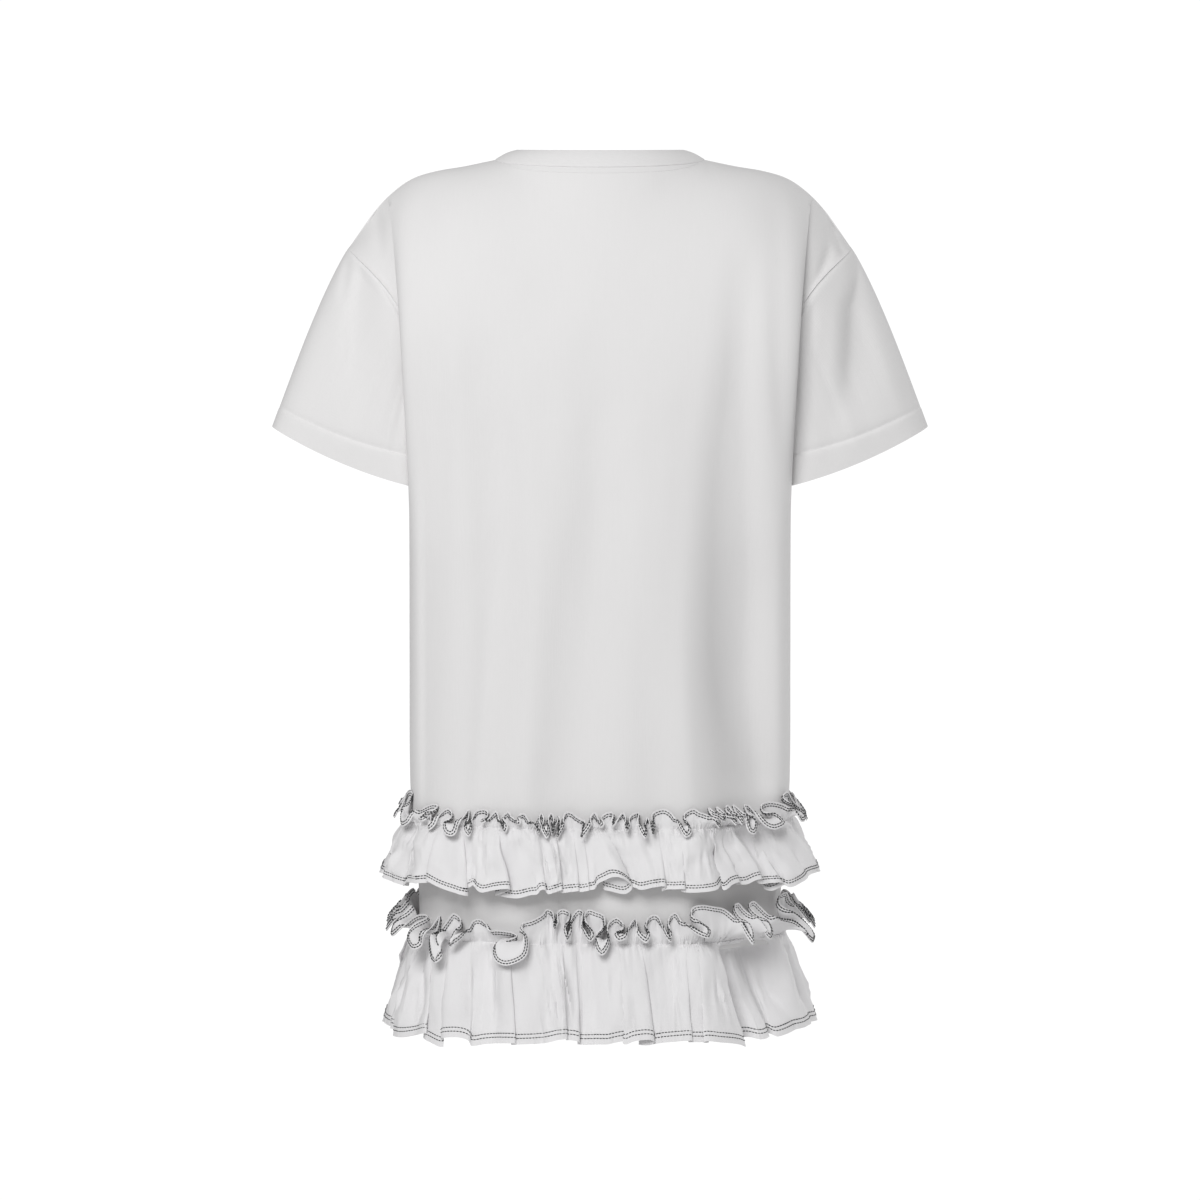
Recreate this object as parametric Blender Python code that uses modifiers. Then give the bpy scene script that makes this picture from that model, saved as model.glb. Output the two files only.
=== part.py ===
"""T-shirt dress: a jersey T-shirt body with drop shoulders that ends in two gathered poplin ruffles.

Metres, +Z up, +X towards the wearer's left, and the front of the dress faces -Y. The origin lies
midway between the two neck points of the shoulder seams, where the wearer's shoulders carry it.
Every piece is an open sheet, shaped from a grid and given its thickness by Solidify.
"""

import math

import bmesh
import bpy
from mathutils import Vector

# Cloth walls, and the room left between neighbouring pieces
JERSEY = 0.0015
POPLIN = 0.0012
RIB = 0.0024
SEAM_GAP = 0.0003
BUTT_ROOM = 0.0012  # between edges that meet at an angle, so that their corners stay apart
WELD = 1e-6

# Neck: the seam where the rib meets the body, and the rib's free edge above it
NECK_SEAM = {
    "half_width": 0.0990, "side_z": -0.0007,
    "back": 0.062, "back_z": -0.0070, "front": 0.095, "front_z": -0.085,
}
NECK_EDGE = {
    "half_width": 0.0778, "side_z": 0.0086,
    "back": 0.050, "back_z": 0.0088, "front": 0.078, "front_z": -0.066,
}
RIB_ARCH = 0.0014

# Shoulder seam, from the neck point to the drop shoulder point
SHOULDER = (
    {"out": 0.0990, "drop": 0.0007},
    {"out": 0.1280, "drop": 0.0072},
    {"out": 0.1560, "drop": 0.0128},
    {"out": 0.1780, "drop": 0.0203},
    {"out": 0.1960, "drop": 0.0326},
    {"out": 0.2120, "drop": 0.0488},
    {"out": 0.2260, "drop": 0.0672},
    {"out": 0.2388, "drop": 0.0863},
)

# Armhole seam, from the shoulder point down to the underarm
UNDERARM = {"out": 0.1712, "z": -0.2350}
ARMHOLE_DEPTH = {"back": 0.072, "front": 0.077}
ARMHOLE_BOW = 0.0250  # how far the seam bends in towards the body

# Body: half a horizontal section at each height. It is widest at its turn, and from there the
# tuck lets the side in beside the sleeve.
BODY_COLUMNS = ("z", "half_width", "tuck", "back", "back_turn", "front", "front_turn")
BODY = [dict(zip(BODY_COLUMNS, row)) for row in (
    (-0.235, 0.1832, 0.0120, 0.118, 0.076, 0.144, 0.082),
    (-0.270, 0.1815, 0.0130, 0.119, 0.073, 0.147, 0.078),
    (-0.312, 0.1796, 0.0110, 0.120, 0.067, 0.149, 0.070),
    (-0.350, 0.1795, 0.0040, 0.121, 0.058, 0.150, 0.058),
    (-0.400, 0.1798, 0.0000, 0.121, 0.046, 0.151, 0.044),
    (-0.480, 0.1802, 0.0000, 0.122, 0.036, 0.152, 0.034),
    (-0.590, 0.1800, 0.0000, 0.124, 0.030, 0.152, 0.030),
    (-0.640, 0.1765, 0.0000, 0.123, 0.030, 0.150, 0.030),
    (-0.690, 0.1722, 0.0000, 0.121, 0.030, 0.147, 0.030),
    (-0.745, 0.1715, 0.0000, 0.121, 0.030, 0.146, 0.030),
)]
SQUARENESS = {"back": 2.5, "front": 2.3}  # superellipse power: the back hangs flatter than the front
LINE_POINTS = 160  # fineness of a line before it is divided evenly

# Fold beside the sleeve: the body runs out to a ridge, then turns in and forward to the armhole
RIDGE_START_OUT = 0.2000  # where the ridge leaves the shoulder seam
RIDGE_BULGE = {"out": 0.0062, "depth": 0.0160}
POCKET = ((-0.018, 0.007), (-0.011, -0.004))  # how far its ridge end and its seam end pull in and back
TUCK_REACH = 0.70  # share of the way from turn to seam within which the tuck is complete
STEEPNESS = {"neck": 0.60, "shoulder": 0.12, "ridge": 0.40}  # 0 rounds over the seam, 1 falls straight

# Large hanging folds: soft troughs down the body, each along a path of across/height places
FOLDS = {
    "back": (
        {"half_width": 0.030, "depth": 0.007,
         "path": ((0.118, -0.15), (0.103, -0.31), (0.107, -0.47), (0.112, -0.62))},
        {"half_width": 0.036, "depth": 0.006,
         "path": ((0.009, -0.14), (0.012, -0.31), (0.030, -0.46), (0.045, -0.62))},
        {"half_width": 0.036, "depth": 0.013,
         "path": ((-0.132, -0.11), (-0.127, -0.31), (-0.134, -0.47), (-0.145, -0.62))},
    ),
    "front": (
        {"half_width": 0.032, "depth": 0.010,
         "path": ((0.098, -0.24), (0.106, -0.36), (0.115, -0.48), (0.120, -0.62))},
        {"half_width": 0.034, "depth": 0.007,
         "path": ((0.018, -0.26), (0.010, -0.38), (-0.008, -0.50), (-0.020, -0.62))},
        {"half_width": 0.030, "depth": 0.011,
         "path": ((-0.102, -0.24), (-0.108, -0.36), (-0.104, -0.48), (-0.108, -0.62))},
    ),
}
FOLD_FADE = 0.10  # height over which a fold starts
FOLD_HELD = {"from": -0.53, "to": -0.62, "left": 0.35}  # the stitched-on ruffle holds the folds flatter

# Sleeve: its cuff is a slanted ellipse
CUFF_OUTER = {"out": 0.3110, "z": -0.2588}
CUFF_INNER = {"out": 0.1785, "z": -0.3132}
CUFF_HALF_DEPTH = 0.048
SLEEVE_CLEAR = 0.0042  # how far the sleeve's underside stands off the body at the underarm
SLEEVE_LIFT = {"out": 0.0018, "up": 0.0012}
SLEEVE_TROUGH = {"turn": 0.135, "half_width": 0.055, "depth": 0.009}

# Ruffles: one gathered strip a tier, stitched down on a line below its free heading.
# Stations are distances along the strip above (+) and below (-) that line.
TIERS = {
    "upper": {
        "gather_z": -0.627, "waves": 40, "stations": (0.0205, 0.0103, 0.0, -0.028, -0.0605),
        "hollow_lean": (5.0, 38.0), "crest_lean": (15.0, 185.0), "flare": 19.5,
        "gather_wave": 0.0020, "flounce_wave": 0.0088,
    },
    "lower": {
        "gather_z": -0.736, "waves": 36, "stations": (0.034, 0.017, 0.0, -0.030, -0.062, -0.0935),
        "hollow_lean": (4.0, 34.0), "crest_lean": (10.0, 150.0), "flare": 13.0,
        "gather_wave": 0.0022, "flounce_wave": 0.0102,
    },
}
BUNCHING = ({"times": 5, "amount": 0.24}, {"times": 8, "amount": -0.20}, {"times": 13, "amount": 0.13})
HEM_SWING = 0.0025  # how far the hem rises and falls
CREST_POWER = 1.4  # above 1 the crests are narrower than the hollows
ROUNDING = 0.0016  # sideways shift that steepens the flanks of each wave
POINTS_PER_WAVE = 6
LOOP_POINTS = 400

# Grid fineness of the large pieces
RIDGE_COLUMNS = 11  # in half a panel, from its middle to the ridge
SIDE_COLUMNS = 3  # from the ridge to the seam
ARMHOLE_ROWS = 8
SKIRT_ROWS = 9
SLEEVE_COLUMNS = 24
SLEEVE_ROWS = 7
RIB_COLUMNS = 44
RIB_ROWS = 2

WHITE_JERSEY = {"colour": (0.78, 0.77, 0.77, 1.0), "roughness": 0.85}
WHITE_RIB = {"colour": (0.78, 0.77, 0.77, 1.0), "roughness": 0.88}
WHITE_POPLIN = {"colour": (0.82, 0.81, 0.81, 1.0), "roughness": 0.70}

RIDGE_SHARE = RIDGE_COLUMNS / (RIDGE_COLUMNS + SIDE_COLUMNS)
ARMHOLE_SHARE = ARMHOLE_ROWS / (ARMHOLE_ROWS + SKIRT_ROWS)
QUARTER = 0.5 * math.pi


# ---- small mathematics ----


def blend(a, b, share):
    return a + (b - a) * share


def ease(low, high, value):
    share = min(1.0, max(0.0, (value - low) / (high - low)))
    return share * share * (3.0 - 2.0 * share)


def smooth_table(rows, key, value, at):
    """The column 'value' of a table at position 'at' of its column 'key', on a smooth curve."""
    rows = sorted(rows, key=lambda row: row[key])
    at = min(rows[-1][key], max(rows[0][key], at))
    i = max(k for k in range(len(rows) - 1) if rows[k][key] <= at)
    before, here, there, after = (rows[max(0, min(len(rows) - 1, i + k))] for k in (-1, 0, 1, 2))
    span = there[key] - here[key]
    share = (at - here[key]) / span
    slope_here = (there[value] - before[value]) / (there[key] - before[key]) * span
    slope_there = (after[value] - here[value]) / (after[key] - here[key]) * span
    cube, square = share**3, share**2
    return (
        (2 * cube - 3 * square + 1) * here[value]
        + (cube - 2 * square + share) * slope_here
        + (3 * square - 2 * cube) * there[value]
        + (cube - square) * slope_there
    )


def evenly(points, count=LINE_POINTS):
    """The same line as count + 1 points, evenly spaced along it."""
    reach = [0.0]
    for before, after in zip(points, points[1:]):
        reach.append(reach[-1] + (after - before).length)
    spaced, k = [], 0
    for i in range(count + 1):
        target = reach[-1] * i / count
        while k < len(points) - 2 and reach[k + 1] < target:
            k += 1
        share = (target - reach[k]) / max(1e-12, reach[k + 1] - reach[k])
        spaced.append(points[k].lerp(points[k + 1], min(1.0, share)))
    return spaced


def at_share(points, share):
    """The point at a share of an evenly spaced line."""
    place = min(1.0, max(0.0, share)) * (len(points) - 1)
    i = min(len(points) - 2, int(place))
    return points[i].lerp(points[i + 1], place - i)


# ---- lines that the pieces share ----


def facing(side):
    """+1 for the back of the dress, -1 for its front."""
    return 1.0 if side == "back" else -1.0


class Line:
    """Half a row of a panel in two stretches: from the middle to the ridge, then on to the seam."""

    def __init__(self, to_ridge, to_seam):
        self.to_ridge = evenly(to_ridge)
        self.to_seam = evenly(to_seam)

    def point(self, share):
        if share <= RIDGE_SHARE:
            return at_share(self.to_ridge, share / RIDGE_SHARE)
        return at_share(self.to_seam, (share - RIDGE_SHARE) / (1.0 - RIDGE_SHARE))


def half_section(side, z):
    """Half a horizontal section of the body at +X."""
    width, depth, turn, tuck = (
        smooth_table(BODY, "z", column, z) for column in ("half_width", side, side + "_turn", "tuck")
    )
    power = 2.0 / SQUARENESS[side]
    to_ridge, to_seam = [], []
    for i in range(LINE_POINTS + 1):
        angle = QUARTER * i / LINE_POINTS
        out = turn + (depth - turn) * max(0.0, math.cos(angle)) ** power
        to_ridge.append(Vector((width * math.sin(angle) ** power, facing(side) * out, z)))
        share = i / LINE_POINTS
        tucked = tuck * ease(0.0, TUCK_REACH, share)
        to_seam.append(Vector((width - tucked, facing(side) * turn * (1.0 - share), z)))
    return Line(to_ridge, to_seam)


def neck_ring(ring, angle):
    """A point of the neck at an angle round it: 0 at the wearer's left, a quarter turn at the back."""
    side = "back" if math.sin(angle) >= 0 else "front"
    z = blend(ring["side_z"], ring[side + "_z"], abs(math.sin(angle)))
    return Vector((ring["half_width"] * math.cos(angle), ring[side] * math.sin(angle), z))


def shoulder_line(start, end, steps=60):
    outs = [blend(start, end, i / steps) for i in range(steps + 1)]
    return [Vector((out, 0.0, -smooth_table(SHOULDER, "out", "drop", out))) for out in outs]


def top_edge(side):
    """Half the top edge of a panel: the neckline from the middle, then the shoulder seam."""
    steps = 40
    neckline = [neck_ring(NECK_SEAM, facing(side) * QUARTER * (1.0 - i / steps)) for i in range(steps)]
    neck_point, shoulder_point = SHOULDER[0]["out"], SHOULDER[-1]["out"]
    return Line(
        neckline + shoulder_line(neck_point, RIDGE_START_OUT), shoulder_line(RIDGE_START_OUT, shoulder_point)
    )


def armhole(side, share):
    """A point of the armhole seam at +X: share 0 is the shoulder point and 1 the underarm."""
    sunk = (1.0 - math.cos(math.pi * share)) / 2.0
    bow = ARMHOLE_BOW * math.sin(math.pi * share**0.85) ** 3
    out = blend(SHOULDER[-1]["out"], UNDERARM["out"], sunk) - bow
    depth = ARMHOLE_DEPTH[side] * math.sin(math.pi * share)
    return Vector((out, facing(side) * depth, blend(-SHOULDER[-1]["drop"], UNDERARM["z"], sunk)))


def fold_depth(side, across, z):
    """How far the hanging folds press the cloth in at a place on the body."""
    total = 0.0
    for fold in FOLDS[side]:
        path = [{"z": height, "across": place} for place, height in fold["path"]]
        centre = smooth_table(path, "z", "across", z)
        strength = 1.0 - ease(path[0]["z"] - FOLD_FADE, path[0]["z"] + 0.02, z)
        total += fold["depth"] * strength * math.exp(-1.6 * ((across - centre) / fold["half_width"]) ** 2)
    return total * blend(FOLD_HELD["left"], 1.0, ease(FOLD_HELD["to"], FOLD_HELD["from"], z))


# ---- surfaces ----


class Panel:
    """The front or the back of the T-shirt, from the neckline and shoulders down to its lower edge."""

    def __init__(self, side):
        self.side = side
        self.top = top_edge(side)
        self.chest = half_section(side, UNDERARM["z"])
        self.sections = {}

    def above_underarm(self, share, fall):
        """The cloth between the middle and the ridge: fall 0 is the top edge and 1 the underarm."""
        top, chest = self.top.point(share), self.chest.point(share)
        out = math.sin(QUARTER * fall)
        steep = blend(STEEPNESS["neck"], STEEPNESS["shoulder"], ease(0.25, 0.55, share))
        steep = blend(steep, STEEPNESS["ridge"], ease(0.55, RIDGE_SHARE, share))
        down = blend(1.0 - math.cos(QUARTER * fall), fall, steep)
        swell = max(0.0, math.sin(math.pi * fall)) ** 0.7 * ease(0.45, RIDGE_SHARE, share)
        return Vector((
            blend(top.x, chest.x, out) + RIDGE_BULGE["out"] * swell,
            blend(top.y, chest.y, out) + RIDGE_BULGE["depth"] * swell * facing(self.side),
            blend(top.z, chest.z, down),
        ))

    def beside_armhole(self, share, fall):
        """Past the ridge the cloth turns in and forward, then runs out to the armhole seam."""
        ridge = self.above_underarm(RIDGE_SHARE, fall)
        seam = armhole(self.side, fall**1.3)
        pull = math.sin(math.pi * fall) ** 0.8 if fall < 1.0 else 0.0
        leave, arrive = (Vector((pocket[0], pocket[1] * facing(self.side), 0.0)) * pull for pocket in POCKET)
        arrive *= 1.0 - ease(0.40, 0.70, fall)
        q = (share - RIDGE_SHARE) / (1.0 - RIDGE_SHARE)
        curve = ridge * (1 - q) ** 3 + (ridge + leave) * 3 * q * (1 - q) ** 2
        curve += (seam + arrive) * 3 * q**2 * (1 - q) + seam * q**3
        inside = 1.0 - q**3
        curve = curve.lerp(self.top.point(share), (1.0 - ease(0.0, 0.15, fall)) * inside)
        return curve.lerp(self.chest.point(share), ease(0.80, 1.0, fall) * inside)

    def below_underarm(self, share, z):
        if z not in self.sections:
            self.sections[z] = half_section(self.side, z)
        return self.sections[z].point(share)

    def finish(self, place, across, by_edge):
        """Mirror the half, press the hanging folds in and keep clear of the seam with the other panel."""
        place = Vector((math.copysign(place.x, across), place.y, place.z))
        on_face = 1.0 - ease(0.62, RIDGE_SHARE, abs(across))
        place.y -= facing(self.side) * fold_depth(self.side, place.x, place.z) * on_face
        place.y += facing(self.side) * (0.5 * SEAM_GAP + 0.12 * JERSEY) * by_edge
        return place

    def point(self, across, down):
        """across runs from -1 to 1, and down from 0 at the top edge to 1 at the lower edge."""
        share = abs(across)
        by_edge = max(ease(0.9, 1.0, share), 1.0 - ease(0.0, 0.04, down))
        if down > ARMHOLE_SHARE:
            z = blend(UNDERARM["z"], BODY[-1]["z"], (down - ARMHOLE_SHARE) / (1.0 - ARMHOLE_SHARE))
            return self.finish(self.below_underarm(share, z), across, by_edge)
        place = self.above_underarm if share <= RIDGE_SHARE else self.beside_armhole
        return self.finish(place(share, down / ARMHOLE_SHARE), across, by_edge)

    def at_height(self, across, z):
        return self.finish(self.below_underarm(abs(across), z), across, ease(0.9, 1.0, abs(across)))


def sleeve_point(mirror, turn, down):
    """turn runs once round from the shoulder by the back, and down from the armhole to the cuff."""
    angle = 2 * math.pi * turn
    low = 0.5 - 0.5 * math.cos(angle)
    side = "back" if turn <= 0.5 else "front"
    seam = armhole(side, 2 * turn if turn <= 0.5 else 2 - 2 * turn)
    seam.x += SLEEVE_CLEAR * low
    outer = Vector((CUFF_OUTER["out"], 0.0, CUFF_OUTER["z"]))
    inner = Vector((CUFF_INNER["out"], 0.0, CUFF_INNER["z"]))
    cuff = outer.lerp(inner, low) + Vector((0.0, CUFF_HALF_DEPTH * math.sin(angle), 0.0))
    share = blend(BUTT_ROOM / (cuff - seam).length, 1.0, down)
    place = seam.lerp(cuff, share)
    lift = math.sin(math.pi * share)
    place += Vector((SLEEVE_LIFT["out"], 0.0, SLEEVE_LIFT["up"])) * lift * (1.0 - low)
    for centre in (SLEEVE_TROUGH["turn"], 1.0 - SLEEVE_TROUGH["turn"]):
        near = math.exp(-(((turn - centre) / SLEEVE_TROUGH["half_width"]) ** 2))
        place.y -= math.sin(angle) * SLEEVE_TROUGH["depth"] * near * lift
    return Vector((place.x * mirror, place.y, place.z))


def rib_point(turn, up):
    """The neck rib: turn runs once round, and up from the neck seam to its free edge."""
    low, high = neck_ring(NECK_SEAM, 2 * math.pi * turn), neck_ring(NECK_EDGE, 2 * math.pi * turn)
    share = blend(BUTT_ROOM / (high - low).length, 1.0, up)
    return low.lerp(high, share) + Vector((0.0, 0.0, RIB_ARCH * math.sin(math.pi * share)))


class Ruffle:
    """One tier's strip over half the dress, wave by wave, on a line made from the panel's points."""

    def __init__(self, tier, panel):
        self.tier = tier
        self.stand = 0.5 * (JERSEY + POPLIN) + SEAM_GAP + tier["gather_wave"]
        direction = facing(panel.side)
        rim = [
            panel.at_height(direction * (1.0 - 2.0 * i / LOOP_POINTS), tier["gather_z"])
            for i in range(LOOP_POINTS + 1)
        ]
        self.line = evenly(rim, LOOP_POINTS)

    def frame(self, share):
        """A place on the stitched line, with its outward and onward directions."""
        step = 3.0 / LOOP_POINTS
        onward = at_share(self.line, share + step) - at_share(self.line, share - step)
        onward.z = 0.0
        onward.normalize()
        outward = Vector((onward.y, -onward.x, 0.0))
        return at_share(self.line, share) + outward * self.stand, outward, onward

    def lean(self, station, crest):
        """How far out and up the heading gets at a station, bending steadily from its stitched line."""
        start, end = (
            math.radians(blend(self.tier["hollow_lean"][i], self.tier["crest_lean"][i], crest)) for i in (0, 1)
        )
        bend = (end - start) * station / self.tier["stations"][0]
        radius = station / bend
        out = radius * (math.cos(start) - math.cos(start + bend))
        return out, radius * (math.sin(start + bend) - math.sin(start))

    def point(self, along, station):
        """along runs from 0 at one side seam to 1 at the other."""
        tier = self.tier
        phase = math.pi * tier["waves"] * along
        share, size = along, 1.0
        for row in BUNCHING:
            share += row["amount"] * math.sin(math.pi * row["times"] * along) / (math.pi * row["times"])
            size += row["amount"] * math.cos(math.pi * row["times"] * along)
        swell = math.sin(phase)
        opened = abs(station) / abs(tier["stations"][0 if station >= 0 else -1])
        if station > 0:
            out, up = self.lean(station, (0.5 + 0.5 * swell) ** CREST_POWER)
            out += tier["gather_wave"] * swell
        else:
            flare = math.radians(tier["flare"])
            wave = blend(tier["gather_wave"], tier["flounce_wave"] * blend(1.0, size, 0.5), opened**0.8)
            out = wave * swell - station * math.sin(flare)
            up = station * math.cos(flare) + HEM_SWING * opened * math.sin(9 * math.pi * along)
        place, outward, onward = self.frame(share)
        sideways = -ROUNDING * size * opened * math.sin(2 * phase)
        return place + outward * out + onward * sideways + Vector((0.0, 0.0, up))


# ---- modelling ----


def clear_scene():
    for item in list(bpy.data.objects):
        bpy.data.objects.remove(item, do_unlink=True)


def fabric(name, finish):
    material = bpy.data.materials.new(name)
    material.use_nodes = True
    shader = material.node_tree.nodes["Principled BSDF"]
    shader.inputs["Base Color"].default_value = finish["colour"]
    shader.inputs["Roughness"].default_value = finish["roughness"]
    shader.inputs["Metallic"].default_value = 0.0
    return material


def cloth(name, columns, rows, surface, thickness, finish, closed=False):
    """A sheet: a grid whose points are placed by surface(u, v), u and v from 0 to 1, then thickened."""
    sheet = bmesh.new()
    bmesh.ops.create_grid(sheet, x_segments=columns, y_segments=rows, size=0.5)
    for vert in sheet.verts:
        vert.co = surface(vert.co.x + 0.5, vert.co.y + 0.5)
    if closed:
        bmesh.ops.remove_doubles(sheet, verts=sheet.verts, dist=WELD)
    mesh = bpy.data.meshes.new(name)
    sheet.to_mesh(mesh)
    sheet.free()
    mesh.materials.append(fabric(name + "_cloth", finish))
    mesh.shade_smooth()
    piece = bpy.data.objects.new(name, mesh)
    dress.objects.link(piece)
    wall = piece.modifiers.new("wall", "SOLIDIFY")
    wall.thickness = thickness
    wall.offset = 0.0
    wall.use_even_offset = True
    wall.thickness_clamp = 0.0


def make_panel(panel):
    def surface(u, v):
        return panel.point(2.0 * u - 1.0, v)

    columns = 2 * (RIDGE_COLUMNS + SIDE_COLUMNS)
    cloth(panel.side + "_panel", columns, ARMHOLE_ROWS + SKIRT_ROWS, surface, JERSEY, WHITE_JERSEY)


def make_sleeve(name, mirror):
    def surface(u, v):
        return sleeve_point(mirror, u, v)

    cloth(name, SLEEVE_COLUMNS, SLEEVE_ROWS, surface, JERSEY, WHITE_JERSEY, closed=True)


def make_rib():
    cloth("neck_rib", RIB_COLUMNS, RIB_ROWS, rib_point, RIB, WHITE_RIB, closed=True)


def make_ruffle(tier_name, panel):
    tier = TIERS[tier_name]
    ruffle = Ruffle(tier, panel)
    rows = len(tier["stations"]) - 1

    def surface(u, v):
        return ruffle.point(u, tier["stations"][round(v * rows)])

    columns = tier["waves"] // 2 * POINTS_PER_WAVE
    cloth(f"{tier_name}_ruffle_{panel.side}", columns, rows, surface, POPLIN, WHITE_POPLIN)


clear_scene()
dress = bpy.data.collections.new("t_shirt_dress")
bpy.context.scene.collection.children.link(dress)

panels = [Panel("back"), Panel("front")]
for one in panels:
    make_panel(one)
make_sleeve("left_sleeve", 1.0)
make_sleeve("right_sleeve", -1.0)
make_rib()
for one in panels:
    make_ruffle("upper", one)
    make_ruffle("lower", one)
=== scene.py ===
import math

import bpy
import numpy as np
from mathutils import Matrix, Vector


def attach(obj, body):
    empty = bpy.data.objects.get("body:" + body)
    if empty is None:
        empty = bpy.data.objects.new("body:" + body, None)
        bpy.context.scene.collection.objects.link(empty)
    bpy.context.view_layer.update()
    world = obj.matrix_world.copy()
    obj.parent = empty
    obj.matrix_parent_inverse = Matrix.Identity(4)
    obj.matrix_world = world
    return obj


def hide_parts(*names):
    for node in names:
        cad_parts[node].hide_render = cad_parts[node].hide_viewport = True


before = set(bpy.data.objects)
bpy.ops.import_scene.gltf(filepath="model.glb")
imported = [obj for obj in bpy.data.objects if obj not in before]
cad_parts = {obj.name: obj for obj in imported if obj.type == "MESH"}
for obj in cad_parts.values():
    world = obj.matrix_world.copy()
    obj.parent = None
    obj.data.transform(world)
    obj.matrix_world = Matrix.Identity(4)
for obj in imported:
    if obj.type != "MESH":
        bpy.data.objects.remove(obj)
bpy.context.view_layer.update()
bpy.ops.object.select_all(action="DESELECT")
print("Frame loaded")

quarterTurn = 0.5 * math.pi
upward = np.array([0.0, 0.0, 1.0])


# small helpers: numbers and curves

def blendOf(a, b, share):
    return a + (b - a) * share


def easeOf(low, high, value):
    share = np.clip((value - low) / (high - low), 0.0, 1.0)
    return share * share * (3.0 - 2.0 * share)


def bellOf(value, width):
    return np.exp(-((value / width) ** 2))


def unitOf(vectors):
    return vectors / np.maximum(1e-12, np.linalg.norm(vectors, axis=-1))[..., None]


def bezierAt(a, b, c, d, t):
    return a * (1 - t) ** 3 + b * 3 * t * (1 - t) ** 2 + c * 3 * t**2 * (1 - t) + d * t**3


def curveAt(knots, values, at):  # smooth curve through a table, level past its ends
    order = np.argsort(knots)
    knots, values = np.asarray(knots, float)[order], np.asarray(values, float)[order]
    last = len(knots) - 1
    under = np.maximum(np.arange(last + 1) - 1, 0)
    over = np.minimum(np.arange(last + 1) + 1, last)
    slopes = (values[over] - values[under]) / (knots[over] - knots[under])
    at = np.clip(at, knots[0], knots[-1])
    i = np.clip(np.searchsorted(knots, at, side="right") - 1, 0, last - 1)
    span = knots[i + 1] - knots[i]
    s = (at - knots[i]) / span
    cube, square = s**3, s**2
    return ((2 * cube - 3 * square + 1) * values[i] + (cube - 2 * square + s) * slopes[i] * span
            + (3 * square - 2 * cube) * values[i + 1] + (cube - square) * slopes[i + 1] * span)


def twoRuns(middle, first, second):  # even places from 0 to 1, with other steps before and after the middle
    return np.concatenate([np.linspace(0.0, middle, first + 1), np.linspace(middle, 1.0, second + 1)[1:]])


def columnsAt(at, places, table):  # each column of a table at the given places
    return np.stack([np.interp(at, places, table[:, k]) for k in range(table.shape[1])], axis=-1)


def lengthsAlong(points):
    return np.concatenate([[0.0], np.cumsum(np.linalg.norm(np.diff(points, axis=0), axis=1))])


def sampleLine(points, places):  # points of a polyline at the given lengths along it
    return columnsAt(places, lengthsAlong(points), points)


def shareLine(points, shares):
    return sampleLine(points, np.asarray(shares) * lengthsAlong(points)[-1])


def softNoise(across, down, seed):  # smooth bumps from -1 to 1, about one a unit
    cells = 64
    table = np.random.default_rng(seed).uniform(-1.0, 1.0, (cells, cells))
    i, j = np.floor(across).astype(int), np.floor(down).astype(int)
    s, t = easeOf(0.0, 1.0, across - i), easeOf(0.0, 1.0, down - j)
    near, far = (blendOf(table[i % cells, k % cells], table[(i + 1) % cells, k % cells], s)
                 for k in (j, j + 1))
    return blendOf(near, far, t)


def smoothRun(values, width):  # running mean along the first axis, with soft ends to its window
    kernel = np.hanning(width + 2)[1:-1]
    kernel /= kernel.sum()
    columns = values.reshape(len(values), -1)
    padded = np.pad(columns, ((width // 2, width // 2), (0, 0)), mode="edge")
    means = [np.convolve(column, kernel, mode="valid") for column in padded.T]
    return np.stack(means, axis=-1).reshape(values.shape)


def smoothPath(knots, perSpan):  # centripetal curve through the knots, and each knot's place in it
    knots = np.asarray(knots, float)
    padded = np.vstack([2 * knots[0] - knots[1], knots, 2 * knots[-1] - knots[-2]])
    parts = []
    for i in range(1, len(padded) - 2):
        a, b, c, d = padded[i - 1:i + 3]
        gaps = [max(1e-6, np.linalg.norm(step) ** 0.5) for step in (b - a, c - b, d - c)]
        t1, t2, t3 = gaps[0], gaps[0] + gaps[1], sum(gaps)
        t = np.linspace(t1, t2, perSpan, endpoint=False)[:, None]
        ab = ((t1 - t) * a + t * b) / t1
        bc = ((t2 - t) * b + (t - t1) * c) / gaps[1]
        cd = ((t3 - t) * c + (t - t2) * d) / gaps[2]
        abc = ((t2 - t) * ab + t * bc) / t2
        bcd = ((t3 - t) * bc + (t - t1) * cd) / (t3 - t1)
        parts.append(((t2 - t) * abc + (t - t1) * bcd) / gaps[1])
    return np.vstack([*parts, knots[-1:]]), np.arange(len(knots)) * perSpan


# small helpers: meshes

def gridMesh(name, places, cut):  # a grid with its corners moved to their places, and its cut as UV map
    rows, columns = places.shape[0] - 1, places.shape[1] - 1
    bpy.ops.object.select_all(action="DESELECT")
    bpy.ops.mesh.primitive_grid_add(x_subdivisions=columns, y_subdivisions=rows, size=1.0)
    piece = bpy.context.object
    piece.name = piece.data.name = name
    mesh = piece.data
    mesh.vertices.foreach_set("co", places.astype(np.float32).ravel())
    corners = np.empty(len(mesh.loops), dtype=np.int32)
    mesh.loops.foreach_get("vertex_index", corners)
    mesh.uv_layers.active.data.foreach_set("uv", cut.reshape(-1, 2)[corners].astype(np.float32).ravel())
    mesh.update()
    return piece


def mergeEdges(gap, turnOut=False):
    bpy.ops.object.mode_set(mode="EDIT")
    bpy.ops.mesh.select_all(action="SELECT")
    bpy.ops.mesh.remove_doubles(threshold=gap)
    if turnOut:
        bpy.ops.mesh.normals_make_consistent(inside=False)
    bpy.ops.object.mode_set(mode="OBJECT")


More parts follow.
